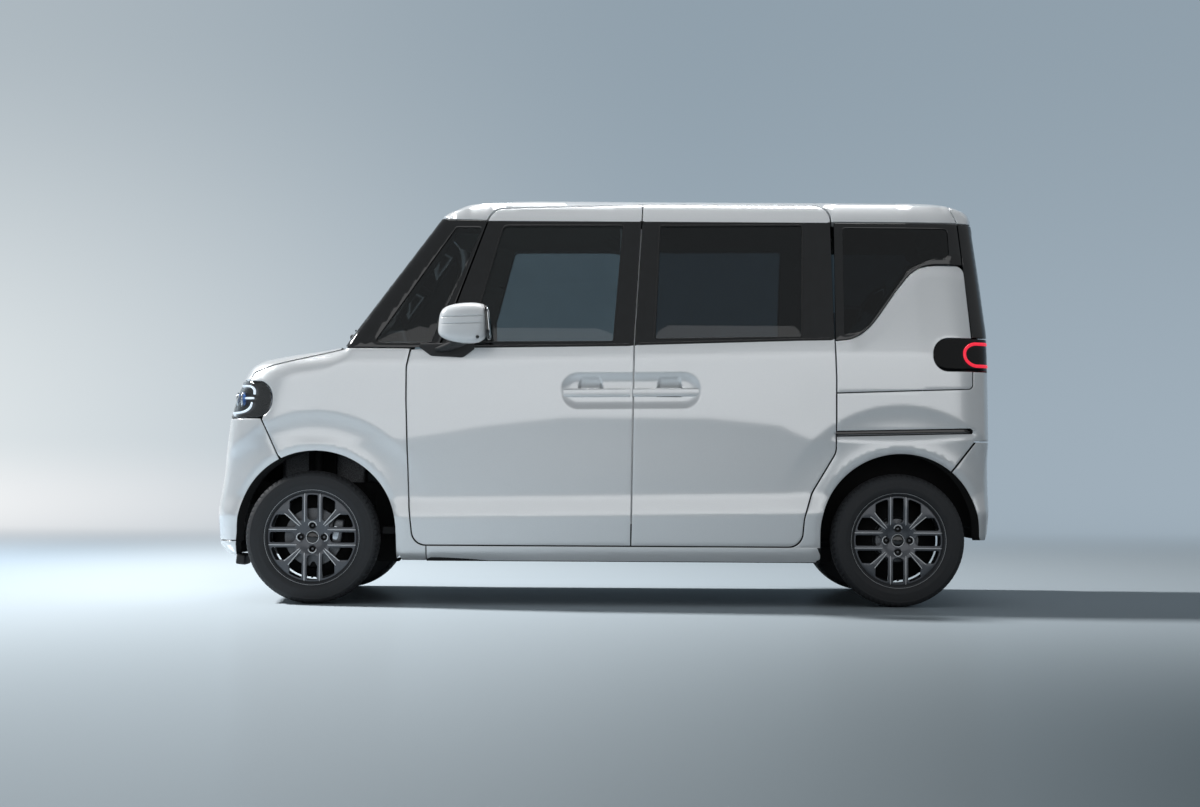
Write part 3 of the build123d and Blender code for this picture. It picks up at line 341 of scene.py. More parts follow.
noseRecess = ([187, 250, 400, 610, 800, 972], [62, 8, 0, 30, 52, 96])
tailRecess = ([187, 300, 420, 1180, 1662, 1712], [60, 8, 0, 10, 62, 66])
capsule = np.array([(-104.0, 920.0), (348.0, 925.0)])
quarterLine = np.array([(1077, 1150), (1129, 1182), (1171, 1224), (1223, 1297), (1275, 1371), (1326, 1434),
                        (1368, 1464),
                        (1421, 1477), (1525, 1477), (1550, 1468)], float)


def lift(x, z):
    # how far the long lines of the side rise from nose to tail, in millimetres, at this height
    foot = np.interp(x, [-812, 864], [-17, 9])
    waist = np.interp(x, [-1000, -842, -500, -150, 450, 760, 900], [-60, -40, 20, 60, 60, 30, -40])
    belt = np.interp(x, [-1200, -789, 995, 1200], [-14, -12, 36, 36])
    return np.where(z < 474, foot * smooth(200, 392, z),
                    np.where(z < 790, foot + (waist - foot) * smooth(474, 790, z),
                             np.where(z < 1045, waist + (belt - waist) * smooth(790, 1045, z),
                                      belt * (1 - smooth(1150, 1640, z)))))


def relief(x, z):
    # pressings in the side, positive outwards: arch scoops and lips, handle bowl, glass bevel and rail ledge
    total = np.zeros_like(x)
    for middle, edge in ((form["frontArch"], form["frontScoop"]), (form["rearArch"], form["rearScoop"])):
        dx, dz = x - middle, z - form["archZ"]
        r = np.where(dz > 0, np.hypot(dx, dz), np.abs(dx))
        angle = np.degrees(np.arctan2(np.abs(dx), np.maximum(dz, 1)))
        crest = form["archRadius"] + form["lipWidth"]
        t = (edge - r) / (edge - crest)
        total -= form["scoopDepth"] * (1 - ((np.clip(t, 0, 1) - 0.55) / 0.55) ** 2) * (1 - smooth(30, 80, angle))
        total -= form["lipDrop"] * np.clip((crest - r) / form["lipWidth"], 0, 1.4)

    def away(near, line):
        # distance from an open line, only worked out where it is near
        d = np.full(x.size, 999.0)
        d[near.ravel()] = nearest(np.stack([x.ravel(), z.ravel()], 1)[near.ravel()], line, False)
        return d.reshape(x.shape)

    near = np.abs(x - form["bowlMiddle"]) < 420
    if near.any():
        bowl = np.sin(np.clip((form["bowlRadius"] - away(near, capsule)) / form["bowlSlope"], 0, 1) * np.pi / 2)
        cups = sum(np.clip((b - z) / 46, 0, 1)
                   * smooth(-4, 10, 44 + 0.15 * (b - z) - np.abs(x - a)) * smooth(898, 926, z)
                   for a, b in ((-52, 984), (288, 986)))
        total -= form["handleDepth"] * bowl + form["cupDepth"] * cups
    near = (x > 980) & (x < 1640)
    if near.any():
        bevel = np.clip(1 - away(near, quarterLine) / form["bevelWidth"], 0, 1)
        total -= form["bevelDepth"] * bevel * smooth(1060, 1130, x) * (1 - smooth(1560, 1600, x))
        slot = np.interp(x, [1004, 1583], [733, 748])
        ledge = np.clip(1 - (slot - z) / 20, 0, 1) * (z < slot + 12)
        total -= form["railDepth"] * ledge * smooth(985, 1000, x) * (1 - smooth(1595, 1610, x))
    return total


def bodyField(p):
    # the end section, moved in where the plan narrows, joined to the side profile by a rounded maximum
    x, y, z = p[..., 0], np.abs(p[..., 1]), p[..., 2]
    front = x - np.interp(z, *noseRecess)
    rear = x + np.interp(z, *tailRecess)
    along = np.where(x < 0, front, rear)
    half = np.interp(along, planX, planHalf)
    steep = (np.interp(along + 3, planX, planHalf) - np.interp(along - 3, planX, planHalf)) / 6
    half = half - 12 * np.clip(planX[0] - along, 0, 200) - 12 * np.clip(along - planX[-1], 0, 200)
    side = sectionField(y + form["halfWidth"] - half, z - lift(x, z)) / np.sqrt(1 + steep ** 2)
    ends = profileField(x, z)
    nose = np.interp(z, [850, 980], [10, 110])
    top = np.interp(x, [-1120, -700, -300, 1300, 1500], [45, 45, 25, 25, 45])
    end = np.minimum(top, np.interp(z, [1600, 1700], [10, 45]))
    k = nose + (top - nose) * smooth(-1200, -1060, x)
    k = k + (end - k) * smooth(1400, 1550, x)
    h = np.maximum(k - np.abs(side - ends), 0) / k
    return np.maximum(side, ends) + h * h * k / 4 - relief(x, z)


# charts: each turns flat coordinates into rays that meet the form once

def sideChart(near=200.0, far=850.0):
    # level rays square to the left flank
    rays = lambda q: (np.stack([q[:, 0], 0 * q[:, 0], q[:, 1]], 1), np.tile([0.0, -1.0, 0.0], (len(q), 1)))
    return {"rays": rays, "flat": lambda p: p[:, [0, 2]], "near": near, "far": far}


def endChart(axisX, sign, near=50.0, far=1200.0, size=700.0):
    # rays fan out level from an upright axis: first coordinate is the angle times the size, second the height
    def rays(q):
        a = q[:, 0] / size
        return np.stack([0 * a + axisX, 0 * a, q[:, 1]], 1), np.stack([sign * np.cos(a), np.sin(a), 0 * a], 1)
    flat = lambda p: np.stack([np.arctan2(p[:, 1], sign * (p[:, 0] - axisX)) * size, p[:, 2]], 1)
    return {"rays": rays, "flat": flat, "near": near, "far": far}


def roofChart(axisZ=1150.0, size=620.0):
    # rays fan out across the car from a lengthwise axis
    def rays(q):
        a = q[:, 1] / size
        return np.stack([q[:, 0], 0 * a, 0 * a + axisZ], 1), np.stack([0 * a, np.sin(a), np.cos(a)], 1)
    flat = lambda p: np.stack([p[:, 0], np.arctan2(p[:, 1], p[:, 2] - axisZ) * size], 1)
    return {"rays": rays, "flat": flat, "near": 60.0, "far": 1000.0}


def pointChart(centre, axis, size=600.0):
    # rays leave one point through a flat screen square to the axis
    centre, w = np.array(centre, float), np.array(axis, float) / np.linalg.norm(axis)
    e1 = np.cross([0, 1, 0], w)
    e1 /= np.linalg.norm(e1)
    e2 = np.cross(w, e1)

    def rays(q):
        d = w + q[:, :1] / size * e1 + q[:, 1:] / size * e2
        return np.tile(centre, (len(q), 1)), d / np.linalg.norm(d, axis=1, keepdims=True)
    flat = lambda p: np.stack([((p - centre) @ e1) / ((p - centre) @ w), ((p - centre) @ e2) / ((p - centre) @ w)],
                              1) * size
    return {"rays": rays, "flat": flat, "near": 30.0, "far": 1300.0}


halvings = 22  # steps of the search, fine enough for a thousandth of a millimetre


def meet(chart, q, depth=0.0):
    # halving search along each ray for the point "depth" below the skin
    if "skin" in chart:
        return chart["skin"](q, depth)
    origin, direction = chart["rays"](q)
    low, high = np.full(len(q), chart["near"]), np.full(len(q), chart["far"])
    for step in range(halvings):
        middle = (low + high) / 2
        outside = bodyField(origin + direction * middle[:, None]) + depth > 0
        high, low = np.where(outside, middle, high), np.where(outside, low, middle)
    return origin + direction * middle[:, None]


def normalAt(chart, q, depth):
    # cross product of the skin's two slopes, turned to face along the rays
    ahead, up = np.array([[2.0, 0.0]]), np.array([[0.0, 2.0]])
    n = np.cross(meet(chart, q + ahead, depth) - meet(chart, q - ahead, depth),
                 meet(chart, q + up, depth) - meet(chart, q - up, depth))
    n *= np.sign((n * chart["rays"](q)[1]).sum(1, keepdims=True))
    return n / np.maximum(np.linalg.norm(n, axis=1, keepdims=True), 1e-9)


side = sideChart()
noseEnd = endChart(-1000.0, -1.0)
tailEnd = endChart(1000.0, 1.0)
roofTop = roofChart()


def onSide(line):
    # points drawn in the side view, put on the left flank
    return meet(side, divided(np.array(line, float)[:, :2], 12, False))


def onEnd(line, sign=-1.0, depth=0.0):
    # points drawn as (y, z) in the end view, put "depth" under the nose (sign -1) or the tail (sign 1)
    rays = lambda q: (np.stack([0 * q[:, 0] + sign * 300, q[:, 0], q[:, 1]], 1),
                      np.tile([sign, 0.0, 0.0], (len(q), 1)))
    return meet({"rays": rays, "near": 0.0, "far": 1600.0}, divided(np.array(line, float)[:, :2], 12, False), depth)


# lines drawn in the side or the end view, in the coordinates of the nose's or the tail's chart
noseBySide = lambda line: noseEnd["flat"](onSide(line))
noseByEnd = lambda line: noseEnd["flat"](onEnd(line))
tailBySide = lambda line: tailEnd["flat"](onSide(line))
tailByEnd = lambda line: tailEnd["flat"](onEnd(line, 1.0))


def level(a, b, height, count):
    # evenly spaced points at one height
    return np.stack([np.linspace(a, b, count), np.full(count, float(height))], 1)


# meshes

def sides(name, both=True):
    # names and mirror signs of the left and the right piece, or of a single one
    return ((name + "_left", 1), (name + "_right", -1)) if both else ((name, 1),)


def named(text, label):
    # the piece's own side put in where a body's or a node's name says SIDE
    return text.replace("SIDE", label.rsplit("_", 1)[-1])


def makeObject(name, points, faces, finishes, indices=None, flip=False, sharp=32.0):
    # one smooth-shaded mesh from millimetres, with sharp edges above an angle in degrees
    points = np.array(points, float) * mm
    if flip:
        points = points * [1, -1, 1]
        faces = [f[::-1] for f in faces]
    mesh = bpy.data.meshes.new(name)
    mesh.from_pydata(points.tolist(), [], faces)
    for f in finishes:
        mesh.materials.append(materials[f])
    if indices is not None:
        mesh.polygons.foreach_set("material_index", np.array(indices, np.int32))
    mesh.polygons.foreach_set("use_smooth", np.ones(len(mesh.polygons), bool))
    mesh.set_sharp_from_angle(angle=math.radians(sharp))
    mesh.update()
    thing = bpy.data.objects.new(name, mesh)
    bpy.context.scene.collection.objects.link(thing)
    return thing


def fillFlat(loops, lines, spacing, fine=()):
    # flat triangles inside the first loop and outside the others, with a staggered grid of inner points
    low, high = loops[0].min(0), loops[0].max(0)
    grids = [(low, high, spacing)] + [(np.array(f[:2]), np.array(f[2:4]), f[4]) for f in fine]
    inner = []
    for n, (a, b, s) in enumerate(grids):
        u, v = np.meshgrid(np.arange(a[0] + s / 2, b[0], s), np.arange(a[1] + s / 2, b[1], s * 0.87), indexing="ij")
        u = u + (np.arange(u.shape[1]) % 2) * s / 2
        g = np.stack([u.ravel(), v.ravel()], 1)
        for f in fine if n == 0 else ():
            g = g[~((g[:, 0] > f[0]) & (g[:, 0] < f[2]) & (g[:, 1] > f[1]) & (g[:, 1] < f[3]))]
        keep = insideLoop(g, loops[0]) & (nearest(g, loops[0]) > 0.5 * s)
        for hole in loops[1:]:
            keep &= ~insideLoop(g, hole) & (nearest(g, hole) > 0.5 * s)
        for line in lines:
            keep &= nearest(g, line, False) > 0.4 * s
        inner.append(g[keep])
    parts, edges, start = [], [], 0
    for part, closed in [(l, True) for l in loops] + [(l, False) for l in lines]:
        ids = np.arange(len(part)) + start
        pairs = np.stack([ids, np.roll(ids, -1)], 1)
        edges += pairs.tolist() if closed else pairs[:-1].tolist()
        parts.append(part)
        start += len(part)
    every = np.concatenate(parts + inner)
    result = delaunay_2d_cdt([Vector(p) for p in every.tolist()], edges, [], 0, 1e-4)
    flat = np.array([tuple(v) for v in result[0]])
    tris = np.array(result[2])
    centres = flat[tris].mean(1)
    keep = insideLoop(centres, loops[0])
    for hole in loops[1:]:
        keep &= ~insideLoop(centres, hole)
    a, b, c = flat[tris[:, 0]], flat[tris[:, 1]], flat[tris[:, 2]]
    area = (b[:, 0] - a[:, 0]) * (c[:, 1] - a[:, 1]) - (b[:, 1] - a[:, 1]) * (c[:, 0] - a[:, 0])
    keep &= np.abs(area) > 1e-3
    tris[area < 0] = tris[area < 0][:, ::-1]
    tris = tris[keep]
    used, back = np.unique(tris, return_inverse=True)
    return flat[used], back.reshape(tris.shape)


def panel(name, body, finishes, loops, chart, spacing=15.0, thick=60.0, roll=2.2, depth=0.0, inner=None,
          lines=(), zones=None, fine=(), both=True, replaces=(), edge=8.0, slot=None, rollZone=None, wallZone=None):
    # closed shell: skin met by the chart's rays, a rolled edge of radius "roll", walls down to an inner face
    # wallZone puts one finish on all the walls: the outer panels use it for black edges, painted shade in the gaps
    # round them
    loops = [divided(np.array(l, float)[:, :2], edge) for l in loops]
    lines = [divided(np.array(l, float)[:, :2], edge, False) for l in lines]
    flat, tris = fillFlat(loops, lines, spacing, fine)
    n = len(flat)
    skin = meet(chart, flat, depth)
    rays = chart["rays"](flat)[1]
    pairs = np.concatenate([tris[:, [0, 1]], tris[:, [1, 2]], tris[:, [2, 0]]])
    border = pairs[~np.isin(pairs[:, 0] * n + pairs[:, 1], pairs[:, 1] * n + pairs[:, 0])]
    away = flat[border[:, 1]] - flat[border[:, 0]]
    away = np.stack([away[:, 1], -away[:, 0]], 1) / np.linalg.norm(away, axis=1, keepdims=True)
    out = np.zeros((n, 2))
    np.add.at(out, border[:, 0], away)
    np.add.at(out, border[:, 1], away)
    ring = np.unique(border)
    out = out[ring] / np.maximum(np.linalg.norm(out[ring], axis=1, keepdims=True), 1e-9)
    base = skin[ring].copy()
    normal = normalAt(chart, flat[ring], depth)
    sideways = meet(chart, flat[ring] + out * 2.5, depth) - base
    sideways -= (sideways * normal).sum(1, keepdims=True) * normal
    sideways /= np.maximum(np.linalg.norm(sideways, axis=1, keepdims=True), 1e-9)
    skin[ring] = base - sideways * roll
    rows = [base - sideways * roll * (1 - math.sin(a)) - normal * roll * (1 - math.cos(a))
            for a in (0.52, 1.05, 1.571)]
    under = inner(skin, flat, rays) if inner else skin - rays * thick
    under[ring] = inner(base, flat[ring], rays[ring]) if inner else base - rays[ring] * thick
    m = len(ring)
    slotOf = np.full(n, -1)
    slotOf[ring] = np.arange(m)
    points = np.concatenate([skin] + rows + [under])
    a, b = border[:, 0], border[:, 1]
    levels = ([(a, b)] + [(n + j * m + slotOf[a], n + j * m + slotOf[b]) for j in range(3)]
              + [(n + 3 * m + a, n + 3 * m + b)])
    quads = np.concatenate([np.stack([levels[j][1], levels[j][0], levels[j + 1][0], levels[j + 1][1]], 1)
                            for j in range(4)])
    last = len(finishes) - 1
    skinZone = zones(flat[tris].mean(1)) if zones else np.zeros(len(tris), int)
    edgeZone = zones((flat[a] + flat[b]) / 2) if zones else np.zeros(len(border), int)
    rollZones = edgeZone if rollZone is None else np.full(len(border), rollZone)
    wallZones = edgeZone if wallZone is None else np.full(len(border), wallZone)
    zoneList = np.concatenate([skinZone] + [rollZones] * 3 + [wallZones, np.full(len(tris), last)])
    cross = np.cross(skin[tris[:, 1]] - skin[tris[:, 0]], skin[tris[:, 2]] - skin[tris[:, 0]])
    faces = tris.tolist() + quads.tolist() + (tris[:, ::-1] + n + 3 * m).tolist()
    if (cross * rays[tris[:, 0]]).sum() < 0:
        faces = [f[::-1] for f in faces]
    made = []
    for label, sign in sides(name, both):
        thing = makeObject(label, points, faces, finishes, zoneList, sign < 0)
        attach(thing, named(body, label))
        if replaces and (sign > 0 or "SIDE" in "".join(replaces)):
            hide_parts(*[named(r, label) for r in replaces])
        made.append(thing)
    return made


def gridFaces(grid, closedU=False, closedV=True, caps=True):
    # a grid of points (rows along the path, columns round it) joined into quads, its open ends closed by fans
    rows, columns = grid.shape[:2]
    ids = np.arange(rows * columns).reshape(rows, columns)
    a = ids if closedU else ids[:-1]
    b = np.roll(ids, -1, 0) if closedU else ids[1:]
    if closedV:
        quads = np.stack([a, np.roll(a, -1, 1), np.roll(b, -1, 1), b], -1).reshape(-1, 4)
    else:
        quads = np.stack([a[:, :-1], a[:, 1:], b[:, 1:], b[:, :-1]], -1).reshape(-1, 4)
    points = grid.reshape(-1, 3)
    faces = quads.tolist()
    if caps and closedV and not closedU:
        points = np.concatenate([points, grid[0].mean(0)[None], grid[-1].mean(0)[None]])
        first = np.full(columns, rows * columns)
        faces += np.stack([first, np.roll(ids[0], -1), ids[0]], 1).tolist()
        faces += np.stack([first + 1, ids[-1], np.roll(ids[-1], -1)], 1).tolist()
    return points, faces


def gridObject(name, body, finishes, grids, closedU=False, closedV=True, caps=True, flip=False, sharp=32.0):
    # one grid, or a list of grids that make one piece
    points, faces, start = [], [], 0
    for grid in grids if isinstance(grids, list) else [grids]:
        p, f = gridFaces(grid, closedU, closedV, caps)
        points.append(p)
        faces += [[n + start for n in face] for face in f]
        start += len(p)
    if flip:
        faces = [f[::-1] for f in faces]
    thing = makeObject(name, np.concatenate(points), faces, finishes, None, False, sharp)
    if body:
        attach(thing, body)
    return thing


def pair(name, body, finishes, grids, closedU=False, closedV=True, caps=True, sharp=32.0, both=True):
    # the left piece and its mirror image on the right
    made = []
    for label, sign in sides(name, both):
        own = [g * [1, sign, 1] for g in (grids if isinstance(grids, list) else [grids])]
        made.append(gridObject(label, named(body, label), finishes, own, closedU, closedV, caps, sign < 0, sharp))
    return made


def pathFrames(path, up, closed=False):
    # unit vectors across and over each point of a path, both square to its tangent
    ahead = np.roll(path, -1, 0) - np.roll(path, 1, 0)
    if not closed:
        ahead[0], ahead[-1] = path[1] - path[0], path[-1] - path[-2]
    ahead /= np.linalg.norm(ahead, axis=1, keepdims=True)
    across = np.cross(ahead, np.broadcast_to(up, path.shape))
    across /= np.linalg.norm(across, axis=1, keepdims=True)
    return across, np.cross(across, ahead)


def barGrid(path, width, height, up=(0, 1, 0), count=16, power=2.0, closed=False, taper=0):
    # a superellipse of width by height carried along a path: |a/w|^p + |b/h|^p = 1, drawn in over "taper" rows
    # at its ends
    path = np.array(path, float)
    across, over = pathFrames(path, np.array(up, float), closed)
    angle = np.linspace(0, 2 * np.pi, count, endpoint=False)
    a = np.sign(np.cos(angle)) * np.abs(np.cos(angle)) ** (2 / power) * width / 2
    b = np.sign(np.sin(angle)) * np.abs(np.sin(angle)) ** (2 / power) * height / 2
    scale = np.ones(len(path))
    if taper:
        t = (np.arange(taper) + 0.5) / taper
        scale[:taper] = np.sqrt(1 - (1 - t) ** 2)
        scale[-taper:] = scale[:taper][::-1]
    return path[:, None] + scale[:, None, None] * (across[:, None] * a[:, None] + over[:, None] * b[:, None])


def bar(name, body, finishes, path, width, height, up=(0, 1, 0), count=16, power=2.0, closed=False, taper=0,
        both=False):
    # one swept bar, with its mirror image if "both"
    return pair(name, body, finishes, barGrid(path, width, height, up, count, power, closed, taper), closed,
                sharp=40.0, both=both)


def superGrid(half, power, count):
    # superellipsoid: each axis is its half size times a signed power 2/p of the sphere's own coordinate
    u = np.linspace(-np.pi / 2, np.pi / 2, count)[:, None]
    v = np.linspace(0, 2 * np.pi, 2 * count, endpoint=False)[None]
    f = lambda w: np.sign(w) * np.abs(w) ** (2 / power)
    return (np.stack([f(np.cos(u)) * f(np.cos(v)), f(np.cos(u)) * f(np.sin(v)), f(np.sin(u)) + 0 * v],
                     -1) * half)[1:-1]


def softBox(name, body, finishes, centre, size, power=4.0, count=28, turn=0.0, both=False):
    # a superellipsoid leaned by "turn" radians about the cross axis
    c, s = math.cos(turn), math.sin(turn)
    grid = superGrid(np.array(size) / 2, power, count) @ np.array([[c, 0, -s], [0, 1, 0], [s, 0, c]])
    return pair(name, body, finishes, grid + np.array(centre, float), both=both)


# side panels, drawn in the side view as (x, z, corner radius)

beltPoints = np.array([(-900, 1092), (-789, 1096), (-557, 1105), (128, 1117), (132, 1120), (854, 1144), (995, 1147),
                       (1010, 1148)], float)
blackTop = 1664.0
scoopRim = 373.0  # where the arch's lip meets its scoop


def arc(middleX, middleZ, radius, start, end, count=40):
    # points of a circle between two angles in degrees
    a = np.radians(np.linspace(start, end, count))
    return np.stack([middleX + radius * np.cos(a), middleZ + radius * np.sin(a)], 1)


def bandZones(q):
    # 0 painted, 1 black between the belt and the black top
    return ((q[:, 1] > np.interp(q[:, 0], beltPoints[:, 0], beltPoints[:, 1])) & (q[:, 1] < blackTop)).astype(int)


def archArc(end, start, stop, radius=form["archRadius"]):
    # part of a circle round the middle of the front or the rear arch
    return arc(form[end + "Arch"], form["archZ"], radius, start, stop)


def liningFace(sweepX=0.0, at=0.0):
    # flat inner face of a door: straight up to the shoulder, then leaning in with the glass
    def inner(skin, flat, rays):
        y = np.interp(skin[:, 2], [0, 1045, 1108, 1662, 1754], [677.5, 677.5, 663.5, 561.5, 527.5])
        back = sweepX * smooth(at - 60, at, skin[:, 0] - (skin[:, 2] - 257) * 0.03)
        return np.stack([skin[:, 0] - back, -np.minimum(y, -skin[:, 1] - 8), skin[:, 2]], 1)
    return inner


frontDoorRows = [(-824, 1096, 0), (-700, 1108, 0), (-481, 1717, 70), (169.5, 1739, 0), (132.5, 1118, 0),
                 (122.5, 257, 0),
                 (-810, 257, 60), (-826, 420, 200), (-842, 880, 400), (-842, 1020, 60)]
rearDoorRows = [(174.5, 1739, 0), (984, 1739, 66), (998, 1143, 0), (1004, 980, 0), (1004, 665, 70), (900, 490, 160),
                (868, 380, 150), (858, 257, 70), (127.5, 257, 0), (137.5, 1118, 0)]
frontGlassRows = [(-577, 1128, 15), (-436, 1642, 30), (88, 1646, 12), (47, 1134, 12)]
rearGlassRows = [(245, 1646, 12), (866, 1652, 12), (858, 1158, 12), (223, 1146, 12)]
beltLine = beltPoints[(beltPoints[:, 0] > -800)]
handleFine = [(-200, 825, 440, 1018, 7.0)]

topLine = np.array([(-900, blackTop), (1700, blackTop)])
creaseLine = np.array([(-900, 375), (900, 401)])


def between(line, low, high):
    # the part of a line with its x between two values
    line = divided(line, 8, False)
    return line[(line[:, 0] > low) & (line[:, 0] < high)]


panel("frontDoorShell", "front_door_SIDE", ["paint", "gloss", "lining"],
      [roundedLoop(frontDoorRows), roundedLoop(frontGlassRows)],
      side, 16, inner=liningFace(14.0, 122.0), zones=bandZones, fine=handleFine,
      lines=[between(beltLine, -780, 124), between(topLine, -498, 162), between(creaseLine, -815, 117)],
      replaces=["front_door_SIDE"], slot="body_paint")
panel("rearDoorShell", "body", ["paint", "gloss", "lining"], [roundedLoop(rearDoorRows), roundedLoop(rearGlassRows)],
      side, 16, inner=liningFace(), zones=bandZones, fine=handleFine,
      lines=[between(beltLine, 143, 992), between(topLine, 178, 978), between(creaseLine, 133, 860)],
      replaces=["rear_door_SIDE"], slot="body_paint")
panel("frontDoorPane", "front_door_SIDE", ["glassFront"], [roundedLoop(frontGlassRows)], side, 60, 4, 0.5, 5.0,
      replaces=["front_door_glass_SIDE"], slot="glass")
panes = panel("rearDoorPane", "body", ["glassRear"], [roundedLoop(rearGlassRows)], side, 60, 4, 0.5, 5.0,
              slot="glass")
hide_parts("rear_door_glass")
print("stage: doors")

lampCut = roundedLoop([(-1700, 795, 0), (-1420, 801, 81), (-1420, 961, 81), (-1700, 961, 0)])
lampCut = lampCut[(lampCut[:, 0] > -1480) & ((lampCut[:, 0] > -1466) | (lampCut[:, 1] > 880))]
fenderLoop = np.concatenate([
    roundedLoop([(-831, 1100, 0), (-847, 1022, 60), (-847, 880, 400), (-831, 420, 200), (-815, 252, 65),
                 (-757, 252, 0),
                 (-757, 189, 0), (-884, 189, 0), (-886, 300, 0), (-1100, 1101, 0)])[:-1],
    archArc("front", 0, 115.2),
    [(-1394, 640), (-1466, 792)], lampCut, roundedLoop([(-1529, 961, 0), (-1511, 993, 20), (-1415, 1027, 60),
                                                        (-1127, 1093, 0),
                                                      (-1100, 1101, 0)])])
# the fender's walls at the arch and the shut lines take the black felt: painted shade in the gaps
panel("frontFender", "body", ["paint", "felt"], [fenderLoop], side, 15, 58,
      lines=[archArc("front", 8, 111, scoopRim)], replaces=["front_fender_SIDE"], slot="body_paint", wallZone=1)

pillarChart = pointChart((-450, 0, 1300), (-0.62, -0.76, 0.16))
pillarEdge = [(-672, 1112), (-655, 1240), (-574, 1672)]
pillarLoop = np.concatenate([onEnd(pillarEdge), onSide([(-676, 1668), (-508, 1666)]),
                             onSide([(-507, 1662), (-708, 1107)]),
                             onSide([(-828, 1105), (-1090, 1106)])])
cornerPane = pillarChart["flat"](onSide(roundedLoop([(-985, 1126, 12), (-742, 1126, 12), (-527, 1634, 10),
                                                     (-640, 1634, 10)])))
panel("screenPillar", "body", ["gloss", "trim"], [pillarChart["flat"](pillarLoop), cornerPane], pillarChart, 15, 52,
      slot="trim")
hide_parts("front_pillars")
panel("frontQuarterPane", "body", ["glassFront"], [cornerPane], pillarChart, 50, 4, 0.5, 5.0, slot="glass")

sillLoop = roundedLoop([(-753, 189, 0), (941, 189, 0), (941, 252, 0), (-753, 252, 0)])
panel("sillCover", "body", ["paint", "felt"], [sillLoop], side, 20, 16, 2.0, -4.0, slot="body_paint")
print("stage: front body side")

# quarter: upper part with the window curve, lower part with the rail slot, and the black band with its pane
windowCurve = np.array([(1003, 1142), (1077, 1150), (1129, 1182), (1171, 1224), (1223, 1297), (1275, 1371),
                        (1326, 1434),
                        (1368, 1464), (1421, 1477), (1500, 1477)], float)


def rounded(line, times=2):
    # corner cutting: every run keeps its middle half, which turns an open line of points into a smooth curve
    for _ in range(times):
        a, b = line[:-1], line[1:]
        line = np.concatenate([line[:1], np.stack([0.75 * a + 0.25 * b, 0.25 * a + 0.75 * b], 1).reshape(-1, 2),
                               line[-1:]])
    return line


def shut(line):
    # an outline with its first point put again at its end, for lines that are cut into parts
    return np.concatenate([line, line[:1]])


curve = rounded(windowCurve)
upperLoop = np.concatenate([curve, roundedLoop([(1500, 1477, 0), (1566, 1477, 36), (1592, 1160, 0), (1423, 1160, 72),
                            (1423, 1015, 72), (1596, 1015, 0), (1596, 941, 20), (1009, 921, 0), (1009, 980, 0)])[1:]])
panel("quarterUpper", "body", ["paint", "trim"], [tailBySide(shut(upperLoop))], tailEnd, 15, 40,
      replaces=["quarter_panel_SIDE"], slot="body_paint")
bandLoop = np.concatenate([curve[::-1] + [0, 4], [(1003, 1400), (1003, blackTop - 1)],
                           [(1543, blackTop - 1), (1562, 1482)]])
bandPane = roundedLoop([(1040, 1640, 12), (1500, 1640, 20), (1505, 1510, 30), (1425, 1505, 60), (1325, 1460, 90),
                        (1128, 1186, 90),
                        (1040, 1170, 12)])
bandPane = tailBySide(shut(bandPane))
panel("quarterBand", "body", ["gloss", "lining"], [tailBySide(shut(bandLoop)), bandPane], tailEnd, 18, 40,
      slot="glass")
panes = panel("quarterPane", "body", ["glassCargo"], [bandPane], tailEnd, 50, 4, 0.5, 4.0, slot="glass")
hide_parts("quarter_glass")

lowerSide = np.concatenate([
    roundedLoop([(1601, 1014, 0), (1601, 938, 24), (1009, 917, 0), (1009, 756, 0), (1590, 770, 10), (1601, 749, 6),
                 (1590, 747, 0),
                 (1009, 732, 0), (1009, 663, 70), (905, 487, 160), (873, 378, 150), (863, 252, 75), (780, 252, 0),
                 (788, 249, 0), (941, 249, 0), (941, 300, 0), (1300, 800, 0)])[:-1],
    archArc("rear", 180, 51.5), [(1504, 587), (1609, 716)]])
lowerLoop = np.concatenate([tailBySide(lowerSide), tailByEnd([(-588, 716), (-588, 1014)])[[0, -1]]])
# the lower quarter's walls at the arch and the shut lines take the black felt: painted shade in the gaps
panel("quarterLower", "body", ["paint", "felt"], [lowerLoop], tailEnd, 15, 44,
      lines=[tailBySide(archArc("rear", 172, 56, scoopRim))], slot="body_paint", wallZone=1)
print("stage: rear body side")

# pieces that run across the car


def wholeLoop(half, mirrored=(-1, 1)):
    # half an outline on the left side closed by its mirror image
    return np.concatenate([half, half[::-1] * mirrored])


def acrossLoop(chart, half):
    # the same from points on the form, for the charts whose second coordinate runs across the car
    return wholeLoop(chart["flat"](half), (1, -1))


roofHalf = np.concatenate([
    onEnd([(-1, 1677), (-560, 1677)]), onSide([(-676, 1672), (-508, 1669)]),
    onSide(roundedLoop([(-506, 1672, 0), (-487, 1722, 70), (169.5, 1744, 0), (989, 1744, 68), (993, 1669, 0),
                        (1250, 1200, 0), (-400, 1200, 0)])[:-2]),
    onSide([(1000, 1669), (1542, 1669), (1508, 1742)]),
    meet(roofTop, np.array([(1508.0, y) for y in range(-420, 0, 20)]))])
panel("roofShell", "body", ["paint", "lining"], [acrossLoop(roofTop, roofHalf)], roofTop, 28, 30, both=False,
      replaces=["roof_panel"], slot="body_paint")

bonnetChart = pointChart((-1150, 0, 640), (-0.35, 0, 0.94))
bonnetSide = onSide(roundedLoop([(-1130, 1098, 0), (-1415, 1032, 60), (-1513, 998, 20), (-1531, 966, 0),
                                 (-1300, 500, 0)])[:-1])
noseLine = noseEnd["flat"](bonnetSide[-1:])[0]
bonnetHalf = np.concatenate([meet(roofChart(640.0), np.array([(-1128.0, -1.0 - 20 * i) for i in range(30)])),
                             bonnetSide,
                             meet(noseEnd, level(noseLine[0], -1, 966, 50))])
panel("bonnetShell", "bonnet", ["paint", "structure"], [acrossLoop(bonnetChart, bonnetHalf)], bonnetChart, 20, 22,
      both=False,
      replaces=["bonnet"], slot="body_paint")

